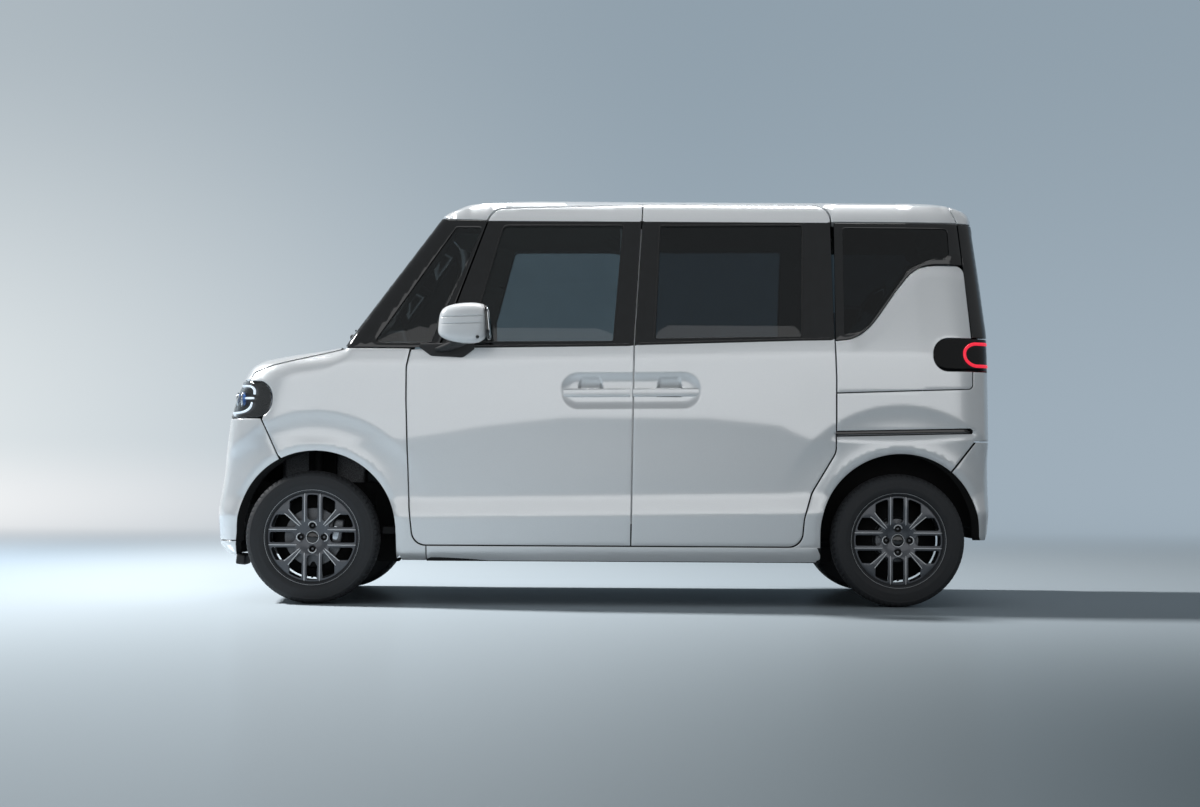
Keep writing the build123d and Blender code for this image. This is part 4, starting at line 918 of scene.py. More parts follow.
screenChart = pointChart((-450, 0, 1120), (-0.82, 0, 0.572))
screenHalf = onEnd([(-1, 1119), (-655, 1119), (-650, 1240), (-566, 1668), (-1, 1674)])
screenLoop = acrossLoop(screenChart, screenHalf)
panel("windscreenPane", "body", ["glassFront", "gloss"], [screenLoop], screenChart, 40, 5, 1.0, 2.0, both=False,
      zones=lambda q: (nearest(q, screenLoop) < 38).astype(int), replaces=["windscreen"], slot="glass")


bumperSide = np.concatenate([onSide([(-1474, 795), (-1398, 638)]), onSide(archArc("front", 117, 180)),
                             onSide([(-1580, 300), (-1584, 270)])])
lampInner = noseByEnd([(-392, 795), (-392, 962)])
bumperFlat = np.concatenate([[(-1, 962)], lampInner[::-1], noseEnd["flat"](bumperSide), [(-1, 268)]])
grilleLoop = noseByEnd(roundedLoop([(-372, 822, 34), (372, 822, 34), (372, 924, 34), (-372, 924, 34)]))
intakeLoop = noseByEnd(roundedLoop([(-395, 292, 30), (395, 292, 30), (360, 368, 24), (-360, 368, 24)]))
rimLine = noseBySide(archArc("front", 121, 172, scoopRim))
# the front bumper's walls take the black felt: painted shade in the gaps round it
panel("frontBumperShell", "body", ["paint", "felt"], [wholeLoop(bumperFlat), grilleLoop, intakeLoop], noseEnd, 18, 42,
      both=False,
      lines=[rimLine, rimLine * [-1, 1]], replaces=["front_bumper"], slot="body_paint", wallZone=1)
skirtHalf = np.concatenate([[(-1, 264)], noseBySide([(-1584, 266), (-1586, 204)]), [(-1, 198)]])
# the skirt's walls take the black felt: painted shade in the gaps round it
panel("frontSkirt", "body", ["paint", "felt"], [wholeLoop(skirtHalf)], noseEnd, 24, 30, both=False, wallZone=1)
for name, loop in (("grille", grilleLoop), ("intake", intakeLoop)):
    panel(f"{name}Back", "body", ["plastic"], [loop], noseEnd, 40, 10, 1.0, 26.0, both=False)
for name, finishName, rows, reach, depth, width, height in (
        ("grille", "gloss", (848, 873, 898), 388, 11.0, 22, 11),
        ("intake", "plastic", (316, 343), 380, 12.0, 20, 8)):
    for i, z in enumerate(rows):
        path = meet(noseEnd, level(-reach, reach, z, 60), depth)
        bar(f"{name}Slat{i}", "body", [finishName], path, width, height, (0, 0, 1), 12, 3.0)

lampSide = roundedLoop([(-1700, 797, 0), (-1425, 803, 78), (-1425, 958, 78), (-1700, 958, 0)])
lampRear = lampSide[(lampSide[:, 0] > -1560)]
lampFlat = np.concatenate([noseBySide(lampRear),
                           noseByEnd(roundedLoop([(-600, 958, 0), (-395, 958, 36), (-395, 797, 36),
                                                  (-600, 797, 0)])[1:-1])])

tailSide = roundedLoop([(1800, 1157, 0), (1426, 1157, 69), (1426, 1018, 69), (1800, 1018, 0)])
tailSide = tailSide[tailSide[:, 0] < 1560]
tailFlat = np.concatenate([tailBySide(tailSide), tailByEnd([(-590, 1018), (-590, 1157)])[[0, -1]]])
for name, loop, chart, cover, thick, depth, slot, node in (
        ("headlamp", lampFlat, noseEnd, "lens", 30, 20.0, "lamp_lens", "headlamps"),
        ("tailLamp", tailFlat, tailEnd, "smokedLens", 26, 18.0, "red_lens", "tail_lamps")):
    panel(f"{name}Cover", "body", [cover], [loop], chart, 18, 3, 1.5, 1.0, slot=slot)
    bowls = panel(f"{name}Bowl", "body", ["gloss", "plastic"], [loop], chart, 18, thick, 3.0, depth, slot=slot)
    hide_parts(node)
print("stage: nose, roof and lamps")

gateCut = np.array([(1514, 1739), (1549, 1668), (1549.5, 1662), (1597, 1163)], float)
spoilerChart = pointChart((1250, 0, 1350), (0.62, 0, 0.78))
cutHigh = onSide(gateCut[:2])
lowU = tailEnd["flat"](cutHigh[-1:])[0][0]
spoilerHalf = np.concatenate([meet(roofTop, np.array([(1514.0, -1.0 - 20 * i) for i in range(22)])), cutHigh,
                              meet(tailEnd, level(lowU, -1, 1668, 50))])
panel("gateSpoiler", "tailgate", ["paint", "structure"], [acrossLoop(spoilerChart, spoilerHalf)], spoilerChart, 18,
      24, both=False,
      replaces=["tailgate"], slot="body_paint")
gateHalf = np.concatenate([[(-1, 1664)], tailBySide(gateCut[2:]), [(-1, 1163)]])
gatePane = tailByEnd(roundedLoop([(-575, 1215, 30), (575, 1215, 30), (530, 1640, 40), (-530, 1640, 40)]))
panel("gateFrame", "tailgate", ["gloss", "trim"], [wholeLoop(gateHalf), gatePane], tailEnd, 20, 44, both=False,
      slot="trim")
panel("gatePane", "tailgate", ["glassRear"], [gatePane], tailEnd, 50, 4, 0.5, 4.0, both=False,
      replaces=["tailgate_glass"], slot="glass")
gateLow = tailByEnd(roundedLoop([(-582, 721, 26), (582, 721, 26), (582, 1158, 8), (-582, 1158, 8)]))
panel("gateLower", "tailgate", ["paint", "trim"], [gateLow], tailEnd, 18, 44, both=False, slot="body_paint")
rearSide = np.concatenate([onSide([(1615, 710), (1508, 581)]), onSide(archArc("rear", 50, 2)),
                           onSide([(1634, 300), (1640, 286)])])
rearFlat = np.concatenate([[(-1, 711)], tailEnd["flat"](rearSide), [(-1, 286)]])
# the rear bumper's walls take the black felt: painted shade in the gaps round it
panel("rearBumperShell", "body", ["paint", "felt"], [wholeLoop(rearFlat)], tailEnd, 18, 42, both=False,
      replaces=["rear_bumper"],
      slot="body_paint", wallZone=1)
print("stage: tail")

# wheels and tyres

wheel = {"y": 712.0, "frontX": -1245.0, "rearX": 1275.0, "z": 286.0, "discRadius": 196.0, "spokeIn": 22.0,
         "spokeOut": 44.0,
         "petal": 97.0, "diagonal": 17.0, "slotTop": 183.0, "boltRadius": 50.0, "bolts": 4, "valveDrop": 170.0}
tyre = {"y": 652.5, "pitches": 72, "grooveDepth": 6.5, "cutDepth": 4.5}


def turned(points, quarter):
    # quarter turns about the wheel's axis
    c, s = ((1, 0), (0, 1), (-1, 0), (0, -1))[quarter]
    return points @ np.array([[c, s], [-s, c]], float)


def wheelChart(x, z, y):
    # the face of a cast wheel: hub sunk, spokes gently crowned, sinking again to the rim
    def skin(q, depth):
        r = np.hypot(q[:, 0], q[:, 1])
        out = np.interp(r, [0, 28, 44, 62, 78, 150, 185, 197], [-17, -17, -16, -10, -3, 0, -2, -5])
        return np.stack([x + q[:, 0], -(y + out - depth), z + q[:, 1]], 1)
    rays = lambda q: (None, np.tile([0.0, -1.0, 0.0], (len(q), 1)))
    return {"rays": rays, "skin": skin}


def wheelLoops(w):
    # outer circle, twelve openings between paired spokes, petals and diagonals, and the bolt wells
    circle = lambda r, x=0.0, z=0.0, n=40: arc(x, z, r, 0, 360 * (1 - 1 / n), n)
    loops = [circle(w["discRadius"], n=150)]
    top, p, d, a = w["slotTop"], w["petal"], w["diagonal"], w["spokeOut"]
    rim = lambda x: math.sqrt(top ** 2 - x ** 2)
    middle = roundedLoop([(-w["spokeIn"], 74, 20), (w["spokeIn"], 74, 20), (w["spokeIn"], rim(22), 6), (0, top, 0),
                          (-w["spokeIn"], rim(22), 6)], 4)
    right = roundedLoop([(a, a + d, 8), (p - 3, p - 3 + d, 6), (p, p + d + 2, 6), (p, rim(p), 7), (72, rim(72), 60),
                         (a, rim(a), 7)], 4)
    for quarter in range(4):
        loops += [turned(middle, quarter), turned(right, quarter), turned(right * [-1, 1], quarter)]
        well = turned(np.array([[0.0, w["boltRadius"]]]), quarter)[0]
        loops.append(circle(13.0, well[0], well[1], 24))
    loops.append(circle(26.5, n=40))
    return loops


def lathe(profile, x, z, count, wave=None):
    # (radius, y) pairs turned about the axle at (x, z); "wave" may lower the radius by angle and row
    angle = np.linspace(0, 2 * np.pi, count, endpoint=False)[:, None]
    r, y = np.array(profile, float).T
    r = np.broadcast_to(r, (count, len(r))) - (wave(angle, y, r) if wave else 0)
    return np.stack([x + r * np.cos(angle), np.broadcast_to(-y, r.shape), z + r * np.sin(angle)], -1)


def latheObject(name, body, finish, profile, x, z, count=96, wave=None, sharp=35.0):
    return pair(name, body, [finish], lathe(profile, x, z, count, wave), True, caps=False, sharp=sharp)


def treadWave(angle, y, r):
    # grooves round the tread and slanted cuts across its shoulders, in millimetres of depth
    across = np.abs(y - tyre["y"])
    onTread = (r > 274) & (across < 74)
    rings = (np.abs(across - 17) < 4.5) | (np.abs(across - 43) < 4.5)
    phase = (angle * tyre["pitches"] / (2 * np.pi) + y * 0.012) % 1.0
    cuts = (phase < 0.2) & ((across > 48) | ((across > 21) & (across < 39)))
    return np.where(onTread & rings, tyre["grooveDepth"], np.where(onTread & cuts, tyre["cutDepth"], 0.0))


def tyreProfile():
    # outside from bead to bead, then back along the inner liner; the side carries fine raised rings
    s = [(191, 61), (197, 68), (206, 74), (216, 79), (226, 81.6), (230, 82.3), (232, 81.6), (244, 82.0), (256, 80.0),
         (262, 78.2),
         (264, 78.6), (267, 76.6), (273, 72.5), (278, 68), (281, 63.5), (283, 58)]
    tread = [(284.2 + 1.8 * (1 - (y / 56) ** 2), y) for y in (53, 48, 47.4, 38.6, 38, 30, 21.6, 21.4, 12.6, 12.4, 6)]
    half = [(r, tyre["y"] + y) for r, y in s + tread]
    other = [(r, 2 * tyre["y"] - y) for r, y in half[::-1]]
    inside = [(r, tyre["y"] + y) for r, y in ((191, -52), (240, -70), (272, -50), (274, 0), (272, 50), (240, 70),
                                              (191, 52))]
    return half + other + inside


def wheelLines(w, chart):
    # turned bright edges: along the middle of each straight spoke, along the petals and round the bolt wells
    ridge = (w["spokeIn"] + w["spokeOut"]) / 2
    p, d, a, top = w["petal"] + 4, w["diagonal"], w["spokeOut"], w["slotTop"]
    petal = roundedLoop([(a + 4, a + d - 7, 0), (p - 6, p - 8 + d, 8), (p, p + d, 8),
                         (p, math.sqrt(top ** 2 - p ** 2) + 3, 0), (400, 400, 0)], 3)[:-2]
    strokes = [(np.array([(ridge, 66.0), (ridge, 190.0)]), 4.4), (petal, 4.4)]
    strokes += [(line * [-1, 1], width) for line, width in strokes] + [(arc(0, w["boltRadius"], 17, 0, 180, 24), 5.0)]
    grids = []
    for quarter in range(4):
        for line, width in strokes:
            path = chart["skin"](turned(divided(line, 4, False), quarter), -0.4)
            grids.append(barGrid(path, width, 4.4, (0, 1, 0), 12, 2.0, taper=3))
    return grids


# (radius, y) outlines of the turned pieces
barrelRows = [(209, 722), (205, 724.5), (199, 722), (195, 712), (191, 700), (186, 690), (183, 640), (184, 600),
              (189, 588), (200, 583),
              (209, 582), (209, 588), (194, 594), (190, 606), (189, 690), (192, 702), (200, 716), (209, 718)]
capRows = [(0.5, 700.5), (14, 700), (22, 698.5), (25, 696), (25.5, 684), (0.5, 684)]
edgeRows = [(200, 721), (204, 725.5), (208, 724), (208, 720)]
capRingRows = [(25.6, 697.5), (27.5, 697.8), (28.5, 695), (28.5, 686), (25.6, 686)]
nutRows = [(0.4, 692), (5.5, 691.5), (8.3, 688), (8.6, 676), (0.4, 676)]
wellRows = [(0.4, 678), (12.9, 678), (13.1, 702), (15, 702), (15, 672), (0.4, 672)]
valveRows = [(0.4, 716), (2.6, 715.5), (3.4, 713), (3.4, 704), (4.6, 702), (5.5, 690), (0.4, 690)]
discRows = [(30, 676), (66, 676), (70, 664), (76, 660), (124, 660), (126, 658), (126, 640), (124, 638), (60, 638),
            (56, 650), (30, 660)]
# dust shield and backing plate: real parts, drawn out to 176 mm past the disc and the drum in near-black chassis
# steel as painted shade behind the wheel's openings
shieldAndShadeRows = [(32, 618), (120, 618), (168, 612), (176, 606), (176, 603), (120, 612), (32, 612)]
drumRows = [(28, 672), (52, 674), (60, 668), (92, 664), (98, 658), (99, 636), (102, 634), (102, 628), (98, 626),
            (40, 626), (28, 640)]
plateAndShadeRows = [(32, 622), (110, 622), (120, 616), (168, 612), (176, 606), (176, 603), (120, 610), (32, 612)]


def makeWheels(w):
    # cast face, turned barrel and rings, bolts in their wells, valve, tyre and brake of each of the four wheels
    for end, x in (("front", w["frontX"]), ("rear", w["rearX"])):
        body, z = f"wheel_{end}_SIDE", w["z"]
        chart = wheelChart(x, z, w["y"])
        panel(f"{end}WheelFace", body, ["wheelGrey"], wheelLoops(w), chart, 14, 20, 3.2, edge=5.0, replaces=[body],
              slot="wheel")
        pair(f"{end}WheelLines", body, ["cutEdge"], wheelLines(w, chart))
        latheObject(f"{end}Barrel", body, "wheelGrey", barrelRows, x, z, 120)
        latheObject(f"{end}CentreCap", body, "gloss", capRows, x, z, 60)
        latheObject(f"{end}RimEdge", body, "cutEdge", edgeRows, x, z, 120)
        latheObject(f"{end}CapRing", body, "cutEdge", capRingRows, x, z, 60)
        for n in range(w["bolts"]):
            well = turned(np.array([[0.0, w["boltRadius"]]]), n)[0]
            latheObject(f"{end}Nut{n}", body, "castMetal", nutRows, x + well[0], z + well[1], 6, sharp=20)
            latheObject(f"{end}Well{n}", body, "plastic", wellRows, x + well[0], z + well[1], 20)
        latheObject(f"{end}Valve", body, "rubber", valveRows, x, z - w["valveDrop"], 16)
        tyres = latheObject(f"{end}Tyre", body, "tyre", tyreProfile(), x, z, 432, treadWave)
        for thing, label in zip(tyres, ("left", "right")):
            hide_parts(f"tyre_{end}_{label}")
        if end == "front":
            latheObject("frontBrakeDisc", body, "castMetal", discRows, x, z, 90)
            # the shield reaches past the disc: a dark sheet of painted shade behind the openings
            latheObject("frontBrakeShield", "knuckle_SIDE", "chassis", shieldAndShadeRows, x, z, 72)
            softBox("frontCaliper", "knuckle_SIDE", ["castMetal"], (x + 104, -652, z + 20), (52, 62, 128), 4.5, 20,
                    0.15, True)
            softBox("frontCaliperBridge", "knuckle_SIDE", ["reflector"], (x + 98, -676, z + 18), (34, 16, 70), 3.5,
                    16, 0.15, True)
        else:
            latheObject("rearBrakeDrum", body, "castMetal", drumRows, x, z, 90)
            # the backing plate reaches past the drum: a dark sheet of painted shade behind the openings
            latheObject("rearBackingPlate", "body", "chassis", plateAndShadeRows, x, z, 72)


makeWheels(wheel)
print("stage: wheels")

# door handles, mirrors and trim on the sides

handle = {"z": 916.0, "height": 37.0, "depth": 26.0, "proud": -1.0, "front": (-168.0, 119.0), "rear": (131.0, 413.0),
          "seam": (58.0, 189.0),
          "rise": 0.012}


def skinY(x, z):
    # how far out the flank stands here, leaving out the handle bowl
    return -meet(side, np.array([[x, z]], float))[0, 1]


def makeHandles(h):
    # two bars end to end on each door, drawn in towards the ends of the shared bowl
    y = skinY(-300, h["z"]) - h["depth"] / 2 + 2 + h["proud"]
    for name, body, spans in (("frontHandle", "front_door_SIDE",
                               ((h["front"][0], h["seam"][0] - 1), (h["seam"][0] + 1, h["front"][1]))),
                              ("rearHandle", "body", ((h["rear"][0], h["seam"][1] - 1),
                                                      (h["seam"][1] + 1, h["rear"][1])))):
        for n, (a, b) in enumerate(spans):
            x = np.linspace(a, b, 40)
            path = np.stack([x, 5 * (1 - smooth(0, 60, np.minimum(x - h["front"][0], h["rear"][1] - x))) - y,
                             h["z"] + h["rise"] * (x - 120)], 1)
            bar(f"{name}{n}", body, ["paint"], path, h["height"], h["depth"], (0, 1, 0), 24, 4.5, both=True)
        # a thin dark plastic strip just under and behind each handle: a painted shadow line beneath the bars
        inside = (spans[0][0] + 20, spans[-1][1] - 20)
        path = np.stack([np.linspace(*inside, 30), np.full(30, -y + 9), np.full(30, h["z"] - 18.0)], 1)
        bar(f"{name}Underside", body, ["plastic"], path, 8, 20, (0, 1, 0), 12, 3, taper=3, both=True)


makeHandles(handle)

mirror = {"centre": (-590.0, -859.0, 1202.0), "size": (212.0, 160.0, 172.0), "power": 3.8, "sidePower": 2.8,
          "grooves": (26.0, -4.0), "grooveDepth": 6.0, "grooveWidth": 2.0}


def makeMirrors(m):
    # housing: a superellipsoid in even steps of height, drawn in towards the front; x' = x + 0.10 z leans it back
    height = np.sin(np.linspace(-np.pi / 2, np.pi / 2, 140))[:, None]
    girth = (1 - np.abs(height) ** m["power"]) ** (1 / m["power"])
    v = np.linspace(0, 2 * np.pi, 120, endpoint=False)[None]
    f = lambda w, p: np.sign(w) * np.abs(w) ** (2 / p)
    g = np.stack([girth * f(np.cos(v), m["power"]), girth * f(np.sin(v), m["sidePower"]), height + 0 * v], -1)
    g = g * np.array(m["size"]) / 2
    front = smooth(20, -106, g[..., 0])
    g[..., 2] *= 1 - 0.12 * front
    g[..., 2] += 6 * smooth(-20, -86, g[..., 2]) * front
    g[..., 0] += 0.10 * g[..., 2]
    g[..., 1] *= 1 - 0.22 * front
    # grooves along the outer side: a bell curve across each, fading out towards both ends
    outer = g[..., 1] < 0
    for z in m["grooves"]:
        near = np.exp(-((g[..., 2] - z - 0.04 * g[..., 0]) / m["grooveWidth"]) ** 2) * outer
        g[..., 1] += m["grooveDepth"] * near * smooth(100, 70, np.abs(g[..., 0]))
    g = g + np.array(m["centre"])
    shells = pair("mirrorHousing", "front_door_SIDE", ["solidPaint"], g[1:-1], sharp=60)
    for shell, label in zip(shells, ("left", "right")):
        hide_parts(f"door_mirror_{label}")
    cx, cy, cz = m["centre"]
    softBox("mirrorSurround", "front_door_SIDE", ["gloss"], (cx + 101, cy, cz + 2), (14, 148, 150), 5, 20, -0.1, True)
    softBox("mirrorGlass", "front_door_SIDE", ["mirrorGlass"], (cx + 107.5, cy, cz + 2), (4, 132, 132), 6, 20, -0.1,
            True)
    softBox("mirrorCamera", "front_door_SIDE", ["gloss"], (cx + 62, cy - 70, cz - 62), (15, 15, 15), 2, 14, 0, True)
    foot = roundedLoop([(-792, 1108, 4), (-738, 1069, 22), (-600, 1063, 26), (-552, 1100, 6), (-556, 1128, 6),
                        (-786, 1122, 4)])
    panel("mirrorFoot", "front_door_SIDE", ["plastic"], [foot], side, 16, 20, 4.0, -9.0)
    path = np.array([(-690, -712, 1096), (-675, -740, 1100), (-650, -775, 1108), (-622, -812, 1118),
                     (-600, -846, 1130)], float)
    bar("mirrorArm", "front_door_SIDE", ["plastic"], divided(path, 8, False), 74, 26, (0, 0, 1), 20, 3.0, both=True)


makeMirrors(mirror)

# strips of rubber along the foot of the side windows, the slide rail's channel and the black lip ahead of the front
# wheels
strips = {"height": 11.0, "depth": 7.0}


def strip(name, body, finish, line, depth, width, height, power):
    # a thin bar along a line drawn in the side view, "depth" under the flank
    path = meet(side, divided(np.array(line, float), 10, False), depth)
    bar(name, body, [finish], path, width, height, (0, 1, 0), 12, power, taper=2, both=True)


for name, body, low, high in (("front", "front_door_SIDE", -560, 126), ("rear", "body", 142, 990)):
    strip(f"{name}BeltStrip", body, "rubber", between(beltLine + [0, 5], low, high), -1.0, strips["height"],
          strips["depth"], 3)
for name, body, rows in (("front", "front_door_SIDE", frontGlassRows), ("rear", "body", rearGlassRows)):
    bar(f"{name}DoorSeal", body, ["rubber"], meet(side, divided(roundedLoop(rows), 10), 2.0), 9, 6, (0, 1, 0), 10,
        2.5, closed=True, both=True)
strip("slideRail", "body", "gloss", [(1006, 744), (1592, 758)], 16.0, 34, 14, 5)
strip("slideRailLip", "body", "castMetal", [(1012, 738), (1580, 752)], 9.0, 5, 8, 4)
softBox("airLip", "body", ["plastic"], (-1563, -555, 186), (44, 170, 46), 7, 20, 0.1, True)
print("stage: handles, mirrors, strips")

# lamps

lamps = {"tube": 11.0, "projectors": ((44, 880, 30), (112, 880, 26)), "tailWidth": 15.0, "tailThick": 11.0,
         "hook": 48.0,
         "hookZ": 1088.0}


def circleOf(centre, radius, axis, count):
    # points of a circle about a point, in the plane square to x (axis 0) or to y (axis 1)
    angle = np.linspace(0, 2 * np.pi, count, endpoint=False)
    c, s, flat = radius * np.cos(angle), radius * np.sin(angle), 0 * angle
    return np.array(centre, float) + np.stack([flat, c, s] if axis == 0 else [c, flat, s], 1)


def makeHeadlamps(m):
    # light guide in three strokes and two projectors in bright rings, placed from the lamp's edge in the nose's chart
    edge = noseBySide([(-1490, 880)])[0][0] + 36
    for name, points in (("headRingTop", [(110, 938), (40, 938), (6, 936), (-12, 922), (-14, 900)]),
                         ("headRingMiddle", [(44, 884), (20, 884), (-12, 884)]),
                         ("headRingLow", [(-6, 866), (-2, 842), (22, 824), (60, 820), (130, 820)])):
        line = divided(rounded(np.array(points, float) + [edge, 0], 3), 6, False)
        bar(name, "body", ["lightGuide"], meet(noseEnd, line, 11.0), m["tube"], 9, (0, 0, 1), 12, 2.6, taper=3,
            both=True)
    for n, (along, z, radius) in enumerate(m["projectors"]):
        place = meet(noseEnd, np.array([[edge + along, z]], float), 16.0)[0]
        softBox(f"headProjector{n}", "body", ["projector"], place + [4, 0, 0], (22, 2 * radius, 2 * radius), 2.2, 24,
                0, True)
        bar(f"headBezel{n}", "body", ["reflector"], circleOf(place - [2, 0, 0], radius + 3, 0, 40), 5, 8, (1, 0, 0),
            10, 2.2,
            closed=True, both=True)


def makeTailLamps(m):
    # red light guide: two level runs joined by a half circle, and bright bars between them
    start, stop = tailBySide([(1562, 1088)])[0][0], tailByEnd([(-612, 1088), (-612, 1090)])[0][0]
    way, bend = np.sign(stop - start), np.linspace(np.pi / 2, 1.5 * np.pi, 24)
    hook = np.stack([start + way * (m["hook"] + m["hook"] * np.cos(bend)), m["hookZ"] + m["hook"] * np.sin(bend)], 1)
    hook = divided(np.concatenate([[[stop, m["hookZ"] + m["hook"]]], hook, [[stop, m["hookZ"] - m["hook"]]]]), 6,
                   False)
    bar("tailRing", "body", ["redGuide"], meet(tailEnd, hook, 3.5), m["tailWidth"], m["tailThick"],
        normalAt(tailEnd, hook, 3.5), 14, 2.6,
        taper=2, both=True)
    for n, z in enumerate((1072, 1087, 1102)):
        path = meet(tailEnd, level(start + way * 46, stop - way * 30, z, 12), 12.0)
        bar(f"tailBar{n}", "body", ["reflector"], path, 7, 8, (0, 0, 1), 10, 2.5, taper=2, both=True)


makeHeadlamps(lamps)
makeTailLamps(lamps)
print("stage: lamps")

# black inner panels that close the view past the wheels: dark felt sheets put in as painted shade behind the tyres
for name, place, size in (("frontArchInner", (-945, -396, 330), (120, 6, 320)),
                          ("rearArchInner", (962, -486, 330), (100, 6, 300))):
    softBox(name, "body", ["felt"], place, size, 9, 16, 0, True)
softBox("hingePost", "body", ["paint"], (-823, -642, 722), (84, 92, 736), 9, 24, 0, True)

# wipers, plates and the rear fittings

wipers = {"bladeWidth": 9.0, "bladeHeight": 15.0, "armWidth": 15.0, "armHeight": 9.0, "lift": 11.0}
plates = {"width": 330.0, "height": 165.0, "frontZ": 470.0, "rearZ": 860.0, "boltSpan": 210.0}


def makeWipers(w):
    # blade, arm and pivot of each wiper: drawn in the end view and held off the glass by the lift
    front, rear = (-0.8, 0, 0.6), (1, 0, 0.1)
    for name, n, body, sign, up, arm, blade, above, pivot, size, power, count in (
            ("front", 0, "body", -1.0, front, [(-520, 1160), (-300, 1178)], [(-590, 1182), (-60, 1172)], 8,
             [5, 0, -3], (26, 30, 26), 2.6, 18),
            ("front", 1, "body", -1.0, front, [(60, 1160), (270, 1178)], [(-20, 1174), (480, 1172)], 8, [5, 0, -3],
             (26, 30, 26), 2.6, 18),
            ("rear", "", "tailgate", 1.0, rear, [(-10, 1196), (150, 1258)], [(-40, 1262), (330, 1262)], 10,
             [-6, 0, 0], (34, 46, 46), 2.4, 20)):
        blade, arm = onEnd(blade, sign, -w["lift"]), onEnd(arm, sign, -w["lift"] - above)
        bar(f"{name}WiperBlade{n}", body, ["rubber"], blade, w["bladeWidth"], w["bladeHeight"], up, 12, 3.0, taper=3)
        bar(f"{name}WiperArm{n}", body, ["plastic"], arm, w["armWidth"], w["armHeight"], up, 14, 3.0, taper=3)
        softBox(f"{name}WiperPivot{n}", body, ["plastic"], arm[0] + pivot, size, power, count)


def makePlates(p):
    # blank sheet plates, each with two bolts
    for name, body, sign, z in (("front", "body", -1.0, p["frontZ"]), ("rear", "tailgate", 1.0, p["rearZ"])):
        face = onEnd([(0, z - 70), (0, z + 70)], sign)
        x, lean = face[:, 0].mean(), math.atan2(face[-1, 0] - face[0, 0], 140)
        softBox(f"{name}Plate", body, ["plate"], (x + sign * 5, 0, z), (3.5, p["width"], p["height"]), 14, 30, -lean)
        softBox(f"{name}PlateHolder", body, ["plastic"], (x + sign * 1, 0, z), (7, p["width"] + 8, p["height"] + 8),
                12, 30, -lean)
        softBox(f"{name}PlateBolt", body, ["castMetal"], (x + sign * 8, -p["boltSpan"] / 2, z), (5, 13, 13), 3, 14, 0,
                True)


makeWipers(wipers)
makePlates(plates)
for name, body, finishName, a, b, z, depth, width, height, count, power, taper, both in (
        ("gateHandle", "tailgate", "gloss", -230, 230, 1008, -5, 34, 20, 16, 4.0, 5, False),
        ("gateGrip", "tailgate", "plastic", -120, 120, 990, -2, 20, 16, 14, 4.0, 4, False),
        ("plateLamp", "tailgate", "lens", -60, 60, 980, 2, 12, 12, 12, 3.0, 3, False),
        ("highBrakeLamp", "tailgate", "redGuide", -130, 130, 1682, -1, 14, 8, 12, 3.0, 3, False),
        # the rear reflectors take the glowing red of the lamps' light guide: a painted glow on a part that is no lamp
        ("rearReflector", "body", "redGuide", -545, -455, 430, 3, 26, 8, 14, 3.5, 3, True)):
    bar(name, body, [finishName], onEnd([(a, z), (b, z)], 1.0, depth), width, height, (1, 0, 0), count, power,
        taper=taper, both=both)
print("stage: wipers, plates, rear fittings")

# padded seats

seats = {"frontY": -332.5, "rearY": -236.0, "voxel": 11.0, "pressure": 4.0, "frames": 20, "cap": 15.0,
         "seamDepth": 9.0, "seamWidth": 7.0,
         "room": 9.0}


def pressedOut(points, faces, s):
    # cloth under inner pressure: the closed cover swells between its corners, no point by more than the cap
    mesh = bpy.data.meshes.new("padStart")
    mesh.from_pydata((points * mm).tolist(), [], faces)
    start = bpy.data.objects.new("padStart", mesh)
    bpy.context.scene.collection.objects.link(start)
    remesh = start.modifiers.new("even", "REMESH")
    remesh.mode, remesh.voxel_size = "VOXEL", s["voxel"] * mm
    even = bpy.data.meshes.new_from_object(start.evaluated_get(bpy.context.evaluated_depsgraph_get()))
    bpy.data.objects.remove(start)
    thing = bpy.data.objects.new("padCloth", even)
    bpy.context.scene.collection.objects.link(thing)
    before = np.empty(len(even.vertices) * 3)
    even.vertices.foreach_get("co", before)
    cloth = thing.modifiers.new("cover", "CLOTH")
    cloth.settings.use_pressure = True
    cloth.settings.uniform_pressure_force = s["pressure"]
    cloth.settings.effector_weights.gravity = 0
    cloth.point_cache.frame_start, cloth.point_cache.frame_end = 1, s["frames"]
    for f in range(1, s["frames"] + 1):
        bpy.context.scene.frame_set(f)
    result = thing.evaluated_get(bpy.context.evaluated_depsgraph_get()).data
    after = np.empty(len(result.vertices) * 3)
    result.vertices.foreach_get("co", after)
    bpy.context.scene.frame_set(1)
    move = (after - before).reshape(-1, 3) / mm
    size = np.linalg.norm(move, axis=1, keepdims=True)
    move *= np.minimum(1, s["cap"] / np.maximum(size, 1e-6))
    newFaces = [list(p.vertices) for p in even.polygons]
    bpy.data.objects.remove(thing)
    return before.reshape(-1, 3) / mm + move, newFaces


def pad(name, centre, size, s, lean, power, bolster, seams, replaces=()):
    # superellipsoid cover with raised side bolsters, swollen as cloth, then drawn in by a bell curve along each
    # seam plane
    half = np.array(size) / 2 - s["room"]
    points, faces = gridFaces(superGrid(half, power, 30))
    thin = int(np.argmin(size))
    lifted = bolster * smooth(0.62, 0.95, np.abs(points[:, 1]) / half[1])
    face = 1 if thin == 2 else -1
    points[:, thin] += face * lifted * smooth(0, half[thin], face * points[:, thin])
    points, faces = pressedOut(points, faces, s)
    draw = sum(np.exp(-((points[:, axis] - at) / s["seamWidth"]) ** 2) for axis, at in seams)
    reach = np.abs(points[:, thin]) / half[thin]
    points[:, thin] -= np.sign(points[:, thin]) * s["seamDepth"] * np.clip(draw, 0, 1) * smooth(0.35, 0.8, reach)
    points[:, 0] += lean * points[:, 2]
    points = points + np.array(centre, float)
    for label, sign in sides(name):
        thing = makeObject(label, points, faces, ["fabric"], None, sign < 0, 80)
        smoothing = thing.modifiers.new("round", "SUBSURF")
        smoothing.levels = smoothing.render_levels = 1
        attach(thing, "body")
    if replaces:
        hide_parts(*replaces)


